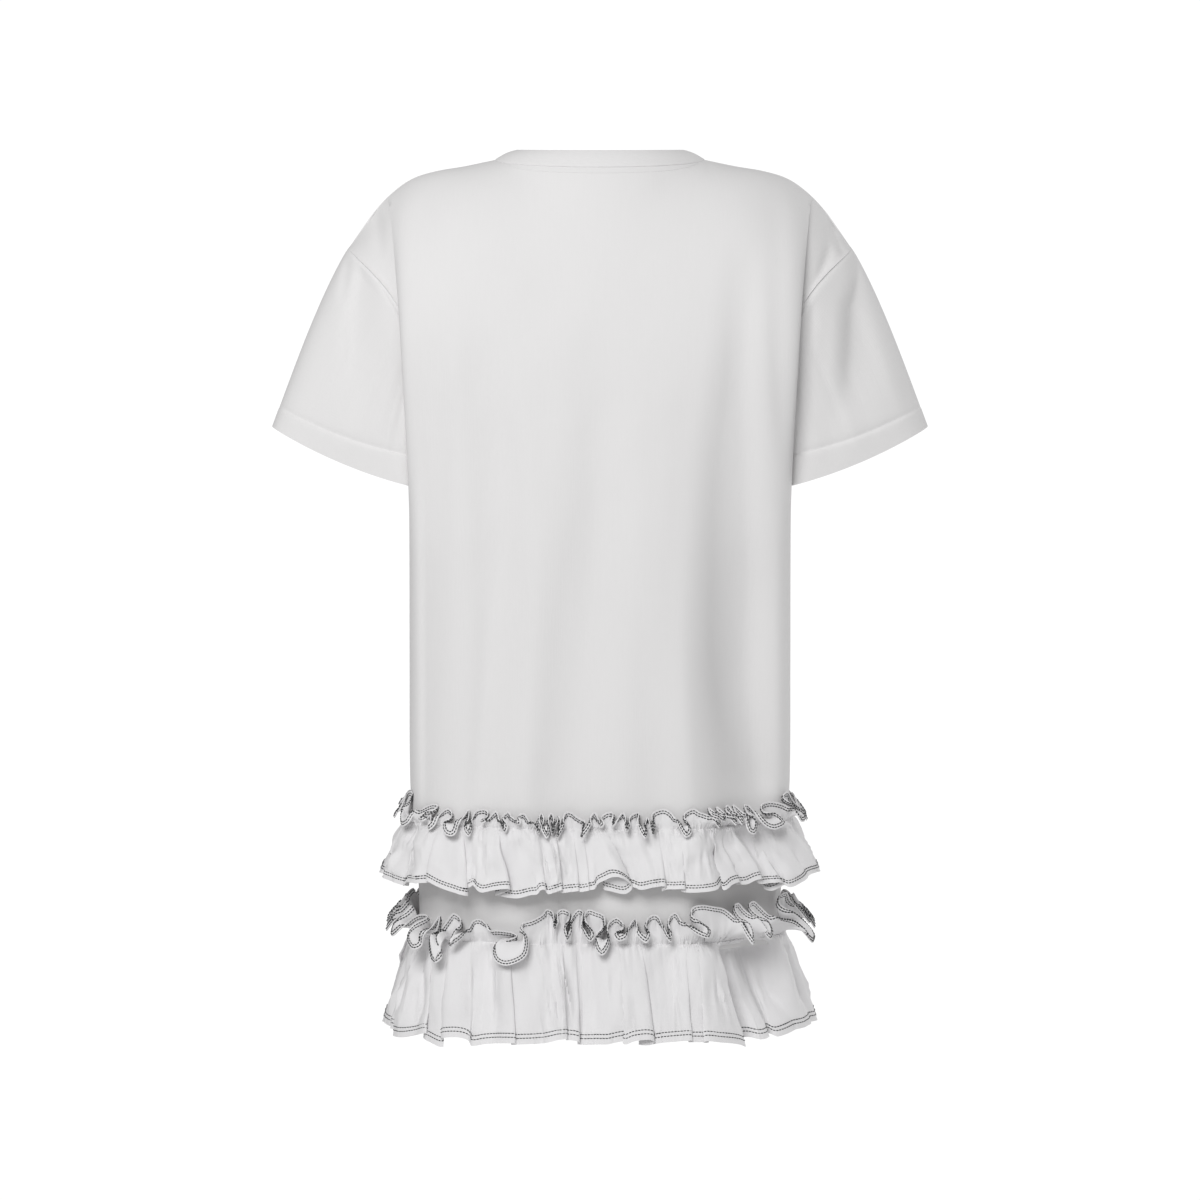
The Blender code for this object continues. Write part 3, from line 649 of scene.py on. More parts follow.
def ribAt(turn, up):
    low, high = (neckRing(ring, 2 * math.pi * turn) for ring in (neckSeam, neckEdge))
    share = blendOf(-collar["overlap"] / np.linalg.norm(high - low, axis=-1), 1.0, up)
    arch = collar["arch"] * np.sin(math.pi * share)
    return blendOf(low, high, share[..., None]) + upward * arch[..., None]


places = ribAt(*np.meshgrid(*(np.linspace(0.0, 1.0, collar[key] + 1) for key in ("columns", "rows"))))
places[:, -1] = places[:, 0]
band = clothSheet("neckRib", ribCloth, places, collar["wall"], closed=True, even=True)
rounding = band.modifiers.new("rounding", "BEVEL")
rounding.width, rounding.segments = collar["round"], 3
rounding.limit_method, rounding.angle_limit = "ANGLE", math.radians(60)
sheets["neck_rib"] = finishSheet(band, 70.0)
print("Neck rib made")


# ruffles. Each tier is one strip a side, gathered on a line, with a frilled heading above it and a flounce
# below. Lengths are millimetres, apart from gatherZ, and the flare is in degrees. The edge of the heading
# goes through places along the gathered line, each with its height over it: it drops in tongues, which
# stand out more the lower they hang. The hem of the flounce goes through places along the line, each with
# how far it stands out from the mean and how high over it. Where the places turn back, the cloth laps over.
# A lean is a place at the hem, and how much further on its cloth starts from the line. A hollow is a place,
# its reach before and after, and its depth. A belly is a place, its reach, and how fully the heading bags
# out there. Before the first and after the second of bySides, the heading stands out more, by the third.
ruffles = {
    "upper": {
        "seed": 71, "gatherZ": -0.627, "heading": 21.0, "flounce": 60.5, "top": 17.5, "hemOut": 27.0,
        "endOut": 5.5, "midIn": 10.0, "flare": 16.0, "fine": 1.3, "headingRows": (1.9, 4.3),
        "hemRows": (4.4, 6.8), "topOut": 4.0, "standOut": 0.42, "bySides": (40, 380, 0.4),
        "bellies": ((70, 30, 0.5), (390, 50, 0.6)),
        "hollows": (
            (30, 7, 7, 10), (70, 11, 8, 9), (120, 10, 10, 6), (250, 60, 60, 5), (360, 10, 20, 8),
            (392, 8, 12, 9), (430, 22, 18, 10), (466, 8, 5, 6),
        ),
        "edge": (
            (0, 17), (5, 12), (8, 2), (10, -3), (14, 2), (15, 12), (20, 18), (25, 12), (26, 4), (37, 20),
            (50, 27), (63, 28), (57, 20), (48, 12), (54, 4), (65, -4), (72, 0), (75, 8), (85, 16), (95, 20),
            (101, 19), (92, 11), (85, 4), (91, 4), (96, 10), (98, -4), (103, 0), (105, 8), (108, 15),
            (113, 17), (117, 12), (111, 3), (114, -6), (119, -8), (122, -6), (124, 3), (128, 12), (131, 17),
            (131, 10), (128, 1), (129, -5), (132, -8), (135, -1), (135, 9), (138, 15), (143, 17), (149, 17),
            (152, 14), (150, 9), (146, 4), (151, 6), (156, 13), (160, 16), (165, 9), (169, 3), (173, -3),
            (174, 3), (170, 9), (168, 12), (172, 16), (177, 11), (183, 4), (184, 9), (182, 13), (186, 15),
            (190, 9), (195, 3), (198, -4), (200, 3), (199, 11), (201, 15), (203, 10), (200, 1), (205, -8),
            (209, 0), (208, 11), (211, 15), (213, 10), (210, 2), (211, -5), (214, 0), (217, 8), (218, 13),
            (220, 7), (217, 0), (216, -8), (220, -4), (224, 4), (223, 11), (226, 16), (232, 15), (236, 12),
            (240, 10), (244, 8), (243, 1), (242, -8), (246, -4), (251, 5), (250, 12), (253, 16), (257, 11),
            (260, 2), (263, 6), (260, 12), (264, 16), (270, 16), (269, 10), (270, 3), (274, 8), (276, 13),
            (279, 16), (281, 12), (280, 5), (282, -2), (285, 4), (285, 12), (288, 15), (293, 16), (292, 10),
            (292, 3), (298, -8), (300, -4), (299, 5), (301, 12), (303, 5), (306, -5), (308, 3), (305, 10),
            (306, 15), (311, 18), (318, 19), (324, 16), (329, 9), (332, 1), (337, -7), (341, -2), (338, 7),
            (336, 14), (340, 18), (345, 19), (349, 16), (354, 14), (359, 10), (364, 0), (366, 6), (360, 14),
            (359, 20), (364, 14), (371, 5), (373, 11), (368, 17), (368, 20), (374, 14), (378, 7), (383, 1),
            (385, 7), (379, 14), (378, 18), (382, 20), (386, 12), (391, 1), (394, 6), (389, 15), (389, 20),
            (394, 16), (400, 9), (396, 1), (397, -6), (404, -8), (410, -1), (408, 7), (403, 14), (403, 19),
            (408, 18), (412, 10), (417, 2), (424, -3), (434, -5), (442, 0), (436, 9), (424, 12), (423, 17),
            (433, 20), (445, 17), (453, 10), (458, -1), (466, 0), (463, 8), (454, 16), (446, 25), (452, 28),
            (460, 20), (468, 13), (474, 15), (482, 2), (486, -4), (490, 3), (493, 13), (498, 18), (503, 17),
            (509, 17),
        ),
        "hem": (
            (0, 0, 0), (16, 1, -1), (32, 0, 0), (44, 3, -1), (56, 5, 0), (62, 3.5, -1), (68, -3, -3),
            (76, -6, -5), (79, -5, -5), (76, -1, -4.5), (77, 3, -4.5), (84, 5, -0.5), (96, 4, 0),
            (99, 0, 0.5), (104, -5, 1), (108, -5, 2), (104, -1, 3), (105, 3, 3.5), (117, 5, -3), (130, 6, -9),
            (132, 3, -9.5), (128, -2, -6), (130, -3, -3), (133, 0, -2), (139, 2, 0), (152, 5, -6),
            (165, 5.5, -3.5), (176, 6, -1.5), (178, 3, -2), (174, -2, -5), (166, -5, -9), (163, -7, -9.5),
            (168, -8, -10), (175, -7, -11), (183, -4, -11), (191, -2, -8), (196, 0, -7), (199, 3, -3),
            (203, 3, -3), (205, 0, -6), (207, 2, -7), (214, 4, -5), (221, 5, -3), (222, 3, -3), (219, -1, -5),
            (222, 0, -6), (231, 2.5, -5), (239, 5, -4), (240, 3, -4), (237, 0, -4), (240, 1, -5),
            (249, 4, -3.5), (250, 2, -3), (247.5, 0, -3), (251, 0, -3), (255, 0, -2), (258, 1.5, 3),
            (264, 4, 6.5), (271, 6.5, 10), (277, 6, 9.5), (284, 1, 4), (287, -3, -1), (283, -6, -6),
            (279, -7, -7), (270, -9, -5), (262, -10, -3), (263, -12, -2), (270, -13, -1), (281, -10, 0),
            (287, -4, 0), (290, -2, -1), (294, 2, -2.5), (306, 5, 0), (317, 5.5, 1), (319, 3, 0),
            (315, 0, -4), (319, 0, -2.5), (327, 3, -2), (335, 5, -1.5), (336, 3, -2), (333, 0, -4),
            (336, 0, -5), (346, 2.5, -5), (356, 5, -3), (359, 1, -1), (363, -4, 1), (367, -6, 1),
            (368, -4, -1), (363, -1, -3), (364, 3, -4.5), (371, 5, 0), (380, 5.5, 1.5), (382, 3, 0),
            (378, -1, -1), (381, 0, -1), (391, 3, -1.5), (402, 5.5, 2), (409, 6, 3), (411, 3, 2),
            (406, -1, 0), (410, 0, -2), (423, 4, -2), (436, 6, -2), (438, 2, -5), (430, -4, -10),
            (420, -7, -8), (421, -9, -7), (430, -8, -6), (439, -3, -5), (442, 3, -7), (452, 6, -1),
            (462, 4, 2), (474, 0, 1), (488, 1, 0), (500, 0, 0), (509, 0, 0),
        ),
        "leans": (
            (0, 0), (26, 2), (54, 6), (92, 4), (124, -1), (171, -3), (188, -8), (219, -3), (254, -6),
            (284, -14), (320, -6), (352, 2), (371, -2), (394, -15), (428, -24), (452, -22), (466, -8),
            (496, -2), (509, 0),
        ),
    },
    "lower": {
        "seed": 83, "gatherZ": -0.736, "heading": 33.0, "flounce": 93.5, "top": 28.5, "hemOut": 28.0,
        "endOut": 8.0, "midIn": 3.0, "flare": 12.0, "fine": 1.3, "headingRows": (1.9, 4.3),
        "hemRows": (5.7, 9.4), "topOut": 5.0, "standOut": 0.42, "bySides": (100, 345, 1.0),
        "bellies": ((110, 35, 0.5), (395, 45, 1.0)),
        "hollows": (
            (40, 9, 6, 11), (76, 9, 7, 11), (140, 14, 10, 8), (230, 16, 12, 6), (310, 14, 10, 6),
            (368, 10, 14, 13), (412, 34, 16, 30), (446, 8, 6, 8),
        ),
        "edge": (
            (0, 31), (4, 20), (3, 10), (7, 4), (12, 10), (20, 25), (25, 33), (22, 20), (20, 9), (25, 4),
            (31, 11), (39, 26), (45, 32), (40, 19), (38, 8), (43, 2), (50, 10), (59, 24), (65, 30), (59, 19),
            (57, 8), (62, 1), (69, 8), (76, 20), (83, 24), (90, 23), (80, 14), (81, 2), (89, -7), (94, -4),
            (93, 5), (97, 15), (100, 24), (101, 14), (99, 3), (101, -8), (105, -18), (109, -13), (105, -1),
            (104, 11), (107, 20), (111, 27), (117, 22), (114, 10), (112, -3), (119, 4), (124, 14), (128, 21),
            (137, 22), (143, 18), (148, 12), (153, 13), (162, 13), (170, 12), (174, 9), (169, 6), (162, 4),
            (157, -2), (157, -9), (161, -15), (168, -18), (174, -16), (180, -10), (182, 0), (181, 9),
            (178, 15), (178, 21), (184, 23), (195, 29), (198, 33), (204, 31), (205, 23), (206, 16), (210, 21),
            (209, 30), (213, 33), (221, 30), (218, 20), (216, 12), (220, 4), (224, 12), (223, 21), (225, 29),
            (230, 33), (234, 31), (233, 23), (236, 13), (243, 4), (247, 9), (239, 21), (236, 28), (239, 33),
            (247, 31), (254, 28), (255, 17), (251, 9), (248, 3), (250, -5), (255, -8), (260, 1), (259, 12),
            (258, 19), (261, 24), (266, 26), (271, 21), (269, 14), (264, 10), (267, 5), (273, 7), (276, 15),
            (278, 21), (282, 25), (283, 18), (282, 12), (286, 6), (291, 3), (295, 9), (292, 16), (293, 24),
            (298, 28), (304, 27), (308, 16), (311, 9), (316, 3), (317, 11), (314, 21), (316, 28), (321, 30),
            (326, 22), (332, 15), (338, 9), (343, 7), (345, 13), (339, 21), (334, 29), (335, 35), (342, 37),
            (352, 35), (362, 32), (368, 26), (372, 17), (374, 5), (378, -2), (383, 5), (383, 16), (377, 28),
            (376, 34), (381, 36), (389, 29), (397, 21), (402, 11), (407, 1), (414, 5), (413, 15), (402, 25),
            (397, 33), (403, 36), (411, 30), (418, 22), (427, 16), (435, 12), (440, 5), (445, -7), (451, -2),
            (449, 9), (441, 21), (433, 31), (433, 39), (440, 41), (445, 34), (450, 22), (456, 8), (464, 11),
            (474, 20), (478, 30), (483, 32), (486, 18), (487, 6), (490, 12), (492, 24), (495, 29),
        ),
        "hem": (
            (0, 0, 0), (14, 1, -1), (28, 0, 0), (40, 2.5, -1), (50, 5, -0.5), (58, 4.5, 0), (63, 0, -1),
            (66, -4, -3), (61, -2, -4), (59, 2, -6), (64, 4.5, -6), (73, 6, -5.5), (84, 6, -2), (94, 5, 1.5),
            (96, 2, 1), (92, -3, -2), (91, -4, -3.5), (100, -1, -6.5), (108, 1, -9.5), (109.5, -1, -9),
            (107, -3, -6), (108, 0, -2), (111, 4, 0), (119, 6, 1), (128, 6, -3), (135, 4, -7), (150, 4, -5),
            (162, 5, -3.5), (173, 6, -2.5), (175, 3, -3), (172, -1.5, -4.5), (176, -1, -4), (186, 1, -3),
            (195, 3, -2), (210, 4.5, 0.5), (219, 5, 1.5), (221, 3, 1), (219, -1, 0), (223, -1, 0),
            (232, 1.5, -1), (234, 0, -2), (231.5, -3, -4), (235, -4, -4.5), (239, -3, -4.5), (236, 1, -4),
            (238, 3.5, -4), (249, 4.5, -3.5), (260, 3.5, -3), (263, 1, -2), (272, -1, 0), (275, -3, -0.5),
            (271, -1, -2), (273, 2, -3), (279, 5, 0), (287, 6, 1.5), (295, 5.5, 1), (298, 2, -1),
            (295, -2, -4), (286, -5, -4.5), (284, -7, -4), (290, -7, -4), (298, -3, -3.5), (303, 0, -2.5),
            (318, 4, -1), (330, 5, 0), (332, 3, -0.5), (330, -1, -2), (333, -2, -2), (340, -2, -2.5),
            (342, -3, -3), (338.5, 0, -2.5), (340, 3, -1), (349, 6, -3), (358, 9, -5), (364, 11, -7),
            (369, 10, -9.5), (373, 3, -9), (379, -8, -6), (386, -10, -4.5), (394, -3, -4.5), (402, 7, -6.5),
            (409, 11, -6), (415, 6, -5), (420, -5, -3.5), (424, -6, -4), (429, 2, -7), (440, 8, -4),
            (455, 5, -1), (466, 1, 0), (480, 1, 0), (494.7, 0, 0),
        ),
        "leans": (
            (0, 0), (26, 2), (58, 8), (86, 6), (104, 0), (124, -4), (172, -4), (220, -4), (262, -3),
            (300, -3), (347, -2), (370, -6), (385, -11), (406, -9), (440, -19), (458, -10), (474, -4),
            (494, 0),
        ),
    },
}
poplin = {
    "wall": 0.0006, "hemWall": 0.00081, "thin": 0.72, "fullness": 2.0, "air": 0.35, "hemScale": 0.62,
    "frontBelly": 0.2, "frontHollow": 0.25, "calmEnds": 0.12, "creaseDeep": 3.3,
    "step": 0.5, "columnStep": {"back": 2.1, "front": 2.7}, "headingRows": 8, "flounceRows": 15,
    # tucks at the line: width, depth and reach down the cloth, and seed. The fine ones die out first.
    "tucks": ((3.9, 1.2, 8.0, 15), (6.7, 1.4, 18.0, 18), (13.0, 2.1, 42.0, 21)),
    # creases in the flounce: width, slant, how many from line to hem, and seed
    "creases": ((12.0, 1.7, 2.3, 63), (9.0, -1.4, 3.0, 66), (15.0, 0.4, 4.2, 69)),
}


def randomEdge(rng, length, tier):  # tongues of many sizes, some of them slanted, with arches between
    top, knots, place = tier["top"], [(0.0, tier["top"])], 6.0
    while place < length - 16.0:
        tip, lean, wide = rng.uniform(-9.0, 0.45 * top), rng.uniform(-7.0, 7.0), rng.uniform(6.0, 10.0)
        arch, end = top + rng.uniform(-2.5, 1.5), place + wide
        knots += [(place, arch - 2.0), (place + 0.6 * lean, blendOf(tip, arch, 0.5)),
                  (place + lean, tip + 2.5), (place + lean + 0.5 * wide, tip), (end + 0.9 * lean, tip + 3.5),
                  (end + 0.3 * lean, blendOf(tip, arch, 0.55)), (end, arch - 2.0)]
        gap = rng.uniform(5.0, 19.0)
        knots.append((end + 0.5 * gap, arch))
        place += wide + gap
    return knots + [(length - 5.0, top), (length, top - 1.0)]


def randomHem(rng, length):  # panels of the flounce from one lap to the next
    knots, place, up = [(0.0, 0.0, 0.0), (18.0, 1.0, 0.0), (34.0, 0.0, -1.0)], 34.0, -2.0
    while place < length - 62.0:
        wide, rise = rng.uniform(10.0, 27.0), rng.uniform(-5.0, 5.0)
        knots.append((place + 0.5 * wide, 3.0 + rng.uniform(-1, 1), up + 0.5 * rise + rng.uniform(-1, 1)))
        place += wide
        end = up + rise
        if rng.uniform() < 0.6:  # the panel before lies over the next one
            knots += [(place, 6.0, end), (place + 2.0, 4.0, end), (place - 7.0, -2.0, end - 1.0),
                      (place + 1.5, -2.5, up)]
        elif rng.uniform() < 0.5:  # the next panel lies over it
            knots += [(place, -4.0, end), (place + 3.5, -6.0, up), (place - 5.0, 0.0, up - 1.0),
                      (place - 0.5, 4.5, up - 1.0)]
        else:
            knots += [(place, 0.0, end), (place + 3.0, -5.5, up)]
        place += 3.0
        up = rng.uniform(-6.0, 1.0)
    return knots + [(length - 30.0, 1.0, 0.0), (length - 14.0, 1.0, 0.0), (length, 0.0, 0.0)]


class Seam:  # the gathered line on a panel, with its outward direction

    def __init__(self, side, z):
        shares = np.linspace(1.0, -1.0, 801) * facingOf(side)
        line = halfSection(side, z, np.abs(shares))
        line[:, 0] = np.copysign(line[:, 0], shares)
        onFace = 1.0 - easeOf(ridge["foldsFade"], ridge["share"], np.abs(shares))
        line[:, 1] -= facingOf(side) * foldDepth(side, line[:, 0], line[:, 2]) * onFace
        self.length = lengthsAlong(line)[-1] * 1000.0
        self.places = np.linspace(0.0, self.length, 801)
        self.points = sampleLine(line, self.places / 1000.0)
        ahead = np.gradient(self.points, axis=0)
        ahead[:, 2] = 0.0
        ahead = unitOf(smoothRun(ahead, 23))
        self.outward = np.stack([ahead[:, 1], -ahead[:, 0], 0 * ahead[:, 0]], axis=-1)

    def at(self, along, out, up):  # millimetres to a place in the frame
        inside = np.clip(along, 0.0, self.length)
        point, outward = (columnsAt(inside, self.places, table) for table in (self.points, self.outward))
        outward = unitOf(outward)
        ahead = np.stack([-outward[..., 1], outward[..., 0], 0 * outward[..., 0]], axis=-1)
        past, out, up = ((value / 1000.0)[..., None] for value in (along - inside, out, up))
        return point + outward * out + upward * up + ahead * past


def headingPath(tier, knots, length):  # the free edge of the heading, and the side the cloth comes from
    knots = np.array(knots, float)
    along, up, top = knots[:, 0], knots[:, 1], tier["top"]
    low, high, more = tier["bySides"]
    bySide = 1.0 - easeOf(low - 30.0, low + 30.0, along) + easeOf(high - 25.0, high + 25.0, along)
    out = tier["topOut"] + tier["standOut"] * np.maximum(0.0, top + 3.0 - up)
    out = out * (1.0 + 0.5 * more * bySide) + 6.0 * more * bySide
    roots = np.stack([along, 0.5 + 0 * along, up - 0.9 * tier["heading"]], axis=-1)
    end = len(up) - 1
    peaks = [0] + [i for i in range(1, end) if up[i] >= up[i - 1] and up[i] > up[i + 1]] + [end]
    for first, last in zip(peaks[:-1], peaks[1:]):  # each tongue bends round a spine at its middle
        tip = first + int(np.argmin(up[first:last + 1]))
        if up[tip] > top - 6.0 or tip in (first, last):
            continue
        level = blendOf(up[tip], min(up[first], up[last]), 0.60)
        runs = (slice(tip, last + 1), slice(tip, first - 1 if first else None, -1))
        middle = 0.5 * sum(np.interp(level, up[run], along[run]) for run in runs)
        spine = np.array([middle, out[tip] + 1.0, blendOf(up[tip], max(up[first], up[last]), 0.80)])
        for i in range(first + 1, last):
            high = up[first] if i <= tip else up[last]
            fallen = (high - up[i]) / max(1.0, high - up[tip])
            roots[i] = blendOf(roots[i], spine, easeOf(0.10, 0.50, fallen))
    path, spots = smoothPath(np.stack([along, out, up], axis=-1), 10)
    reach = lengthsAlong(path)
    rootPath = columnsAt(np.arange(len(path)), spots, roots)
    even = np.arange(0.0, reach[-1], poplin["step"])
    edge, inward = (columnsAt(even, reach, table) for table in (path, path - rootPath))
    ahead = unitOf(np.gradient(edge, axis=0))
    for width in (13, 9):
        inward = inward - ahead * (inward * ahead).sum(axis=1)[:, None]
        depth = np.linalg.norm(inward, axis=1)
        facing = smoothRun(unitOf(inward), width)
        inward = facing * depth[:, None]
    depth = smoothRun(np.clip(0.85 * depth, 2.4, tier["heading"] / 3.0), 11)
    return even, edge, unitOf(facing), depth, risingPlaces(edge[:, 0], length, 41)


def risingPlaces(start, length, width):  # where each part of an edge starts on the line: always further on
    rising = 0.5 * (np.maximum.accumulate(start) + np.minimum.accumulate(start[::-1])[::-1])
    rising = smoothRun(rising, width)
    rising = (rising - rising[0]) / (rising[-1] - rising[0]) * length
    return blendOf(rising, np.linspace(0.0, length, len(start)), 0.12)


def hemPath(knots, leans, length):  # the hem of the flounce, and where each part of it starts on the line
    path = smoothPath(knots, 8)[0]
    reach = lengthsAlong(path)
    even = np.arange(0.0, reach[-1], poplin["step"])
    hem = columnsAt(even, reach, path)
    hem[:, 1] *= poplin["hemScale"]
    return even, hem, risingPlaces(hem[:, 0] + curveAt(*zip(*leans), hem[:, 0]), length, 25)


class Strip:  # a gathered strip: places on it by the place along the line and by share from line to edge

    def __init__(self, tier, side):
        self.tier, self.side, self.seam = tier, side, Seam(side, tier["gatherZ"])
        length = self.seam.length
        rng = np.random.default_rng(tier["seed"])
        edge, hem, leans = tier["edge"], tier["hem"], tier["leans"]
        if side == "front":
            edge, hem = randomEdge(rng, length, tier), randomHem(rng, length)
            leans = ((0.0, 0.0), (length, 0.0))
        self.edgeReach, self.edge, self.facing, self.depth, self.edgePlaces = headingPath(tier, edge, length)
        self.hemReach, self.hem, self.hemPlaces = hemPath(hem, leans, length)
        self.stand = 0.5 * (jersey["wall"] + poplin["wall"]) * 1000.0 + poplin["air"] + 2.0 * tier["fine"]
        self.cutWidth = 0.001 * poplin["fullness"] * length
        runs = ((self.edgeReach, self.edgePlaces), (self.hemReach, self.hemPlaces))
        step = poplin["columnStep"][side]
        both = [np.interp(np.arange(0.0, reach[-1], step), reach, places) for reach, places in runs]
        self.columns = np.unique(np.round(np.concatenate([*both, [length]]), 3))

    def gathers(self, along, t, height):  # uneven tucks where the cloth is drawn up
        ends = easeOf(0.0, 4.0, along) * easeOf(self.seam.length, self.seam.length - 4.0, along)
        total, fall = 0.0, t * height
        for wide, deep, reach, seed in poplin["tucks"]:
            drift = 0.55 * wide * softNoise(along / (2.2 * wide), 0 * along + 3.5, seed)
            if wide < 5.0:
                spread = 1.0 + 0.25 * softNoise(along / 9.0, fall / 25.0 + 8.5, seed + 1)
                tuck = np.sin(2 * math.pi * (along * spread + drift) / wide)
            else:
                tuck = softNoise((along + drift) / (0.5 * wide), fall / 45.0 + 5.5, seed + 2)
            strength = 0.55 + 0.6 * softNoise(along / (1.9 * wide), 0 * along + 6.5, seed + 3)
            total = total + deep * tuck * np.clip(strength, 0.0, 1.0) * np.exp(-((fall / reach) ** 1.5))
        return self.tier["fine"] * total * ends

    def heading(self, along, t):
        tier, height, top = self.tier, self.tier["heading"], self.tier["top"]
        d, facing = (columnsAt(along, self.edgePlaces, table) for table in (self.edge, self.facing))
        depth = np.interp(along, self.edgePlaces, self.depth)
        fall = np.clip((top - d[..., 2]) / (top + 6.0), 0.0, 1.15)
        belly = poplin["frontBelly"]
        if self.side == "back":
            belly = sum(more * bellOf(along - place, wide) for place, wide, more in tier["bellies"])
        start = np.radians(6.0 + 34.0 * fall + 72.0 * belly * (1.0 - 0.6 * fall))
        reach = height * (0.36 + 0.12 * fall + 0.46 * belly)
        a = np.stack([along, self.stand + 0 * along, 0 * along], axis=-1)
        b = a + np.stack([0.2 * (d[..., 0] - along), reach * np.sin(start), reach * np.cos(start)], axis=-1)
        place = bezierAt(a, b, d - facing * depth[..., None], d, t[..., None])
        crumple = (softNoise(along / 5.0 + 3.0, 3.0 * t + 7.0, 51) * 0.5
                   + softNoise(along / 2.6 + 3.0, 2.0 * t + 7.0, 52) * 0.25)
        between = np.sin(math.pi * np.clip(t, 0, 1))
        place[..., 1] += crumple * between + 0.8 * self.gathers(along, t, height) * (1.0 - t)
        return place

    def flounce(self, along, t):
        tier, height, hemOut = self.tier, self.tier["flounce"], self.tier["hemOut"]
        path = columnsAt(np.interp(along, self.hemPlaces, self.hemReach), self.hemReach, self.hem)
        straight = math.sqrt(height**2 - hemOut**2) - 1.0
        fromEnd = np.minimum(along, self.seam.length - along)
        byEnd = 1.0 - easeOf(18.0, 52.0, fromEnd)
        out = hemOut + tier["endOut"] * byEnd - tier["midIn"] * easeOf(90.0, 190.0, fromEnd)
        a = np.stack([along, self.stand + 0 * along, 0 * along], axis=-1)
        d = path + np.stack([0 * along, out, 0 * along - straight], axis=-1)
        aside, wave, rise = 0.22 * (path[..., 0] - along), 0.16 * path[..., 1], 0.5 * path[..., 2]
        puff, flare = min(0.30, 15.0 / height), math.radians(tier["flare"])
        b = a + np.stack([aside, height * puff * 0.80 + wave, -height * puff * 0.60 + 0 * along], axis=-1)
        c = d + np.stack([-aside, -0.34 * height * math.sin(flare) - wave,
                          0.34 * height * math.cos(flare) - rise], axis=-1)
        b = blendOf(b, blendOf(a, d, 1 / 3), byEnd[..., None])  # straight at both ends
        c = blendOf(c, blendOf(a, d, 2 / 3), byEnd[..., None])
        place = bezierAt(a, b, c, d, t[..., None])
        soft = (softNoise(along / 17.0 + 0.9 * t + 5.0, 2.4 * t + 9.0, 61) * 4.2
                + softNoise(along / 8.0 - 1.1 * t + 5.0, 2.6 * t + 9.0, 62) * 1.5)
        middle = np.sin(math.pi * np.clip(t, 0, 1)) ** 0.8
        crease = 0.0
        for wide, slant, tall, seed in poplin["creases"]:
            ridged = 1.0 - 4.0 * np.abs(softNoise(along / wide + slant * t + 25.0, tall * t + 3.0, seed))
            mask = np.clip(0.15 + softNoise(along / 30.0 + 2.0, 1.7 * t + 2.0, seed + 1), 0.0, 1.0)
            crease = crease + np.clip(ridged, 0.0, 1.0) * mask
        lowEnd = easeOf(0.0, 0.35, t) * (1.0 - 0.55 * easeOf(0.75, 1.0, t))
        past = along - 14.0 * t
        hollow = sum(deep * bellOf(past - spot, np.where(past < spot, before, after))
                     for spot, before, after, deep in tier["hollows"])
        if self.side == "front":
            hollow = poplin["frontHollow"] * hollow
        calm = blendOf(poplin["calmEnds"], 1.0, easeOf(14.0, 44.0, fromEnd))
        uneven = soft * middle + poplin["creaseDeep"] * crease * lowEnd + self.gathers(along, t, height)
        place[..., 1] += calm * uneven - hollow * easeOf(0.0, 0.25, t) * (1.0 - 0.55 * easeOf(0.6, 1.0, t))
        return place

    def at(self, along, v):  # v is 1 at the heading's edge, 0 at the line and -1 at the hem
        along, v = np.broadcast_arrays(np.asarray(along, float), np.asarray(v, float))
        upper, lower = self.heading(along, np.clip(v, 0, 1)), self.flounce(along, np.clip(-v, 0, 1))
        strip = np.where((v >= 0)[..., None], upper, lower)
        return self.seam.at(strip[..., 0], strip[..., 1], strip[..., 2])

    def rowAt(self, along, offset, edge):  # the share v that lies this many millimetres in from an edge
        shares = np.linspace(1.0, 0.25, 31)
        fan = self.at(along[:, None], edge * shares[None, :])
        inset = np.cumsum(np.linalg.norm(np.diff(fan, axis=1), axis=2), axis=1) * 1000.0
        inset = np.concatenate([np.zeros((len(along), 1)), inset], axis=1)
        found = np.array([np.interp(offset, row, shares) for row in inset])
        return edge * smoothRun(found, 5)


def makeRuffle(tierName, side):
    tier = ruffles[tierName]
    strip = Strip(tier, side)
    up = np.linspace(0.0, 1.0, poplin["headingRows"] + 1)[:0:-1]
    hemShare = tier["hemRows"][1] / tier["flounce"]
    down = -(np.linspace(0.0, 1.0, poplin["flounceRows"]) ** 1.15) * (1.0 - 1.3 * hemShare)
    turned = -np.array([1.0 - 1.1 * hemShare, 1.0 - 0.5 * hemShare, 1.0])
    v = np.concatenate([up, down, turned])
    grid = strip.at(strip.columns[None, :], v[:, None])
    across = 0.5 * sum(np.interp(strip.columns, places, reach) / reach[-1] for places, reach in
                       ((strip.edgePlaces, strip.edgeReach), (strip.hemPlaces, strip.hemReach)))
    lengths = np.where(v >= 0, v * tier["heading"], v * tier["flounce"]) / 1000.0
    cut = np.stack(np.broadcast_arrays(across[None, :] * strip.cutWidth, lengths[:, None]), axis=-1)
    doubled = np.broadcast_to((v[:, None] < -1.0 + 1.2 * hemShare) | (v[:, None] > 0.78), grid.shape[:2])
    name = f"{tierName}Ruffle{side.capitalize()}"
    piece = clothSheet(name, poplinCloth, grid, poplin["hemWall"], cut=cut, doubled=doubled,
                       thin=poplin["thin"])
    return finishSheet(piece), strip


strips = {}
for tierName in ruffles:
    for side in ("back", "front"):
        node = f"{tierName}_ruffle_{side}"
        sheets[node], strip = makeRuffle(tierName, side)
        strips[node] = strip
        print(node, "edge mm", round(strip.edgeReach[-1]), "line mm", round(strip.seam.length),
              "hem mm", round(strip.hemReach[-1]), "triangles", 2 * len(sheets[node].data.polygons))


# stitches: each is a short thread that dips into the cloth at both ends

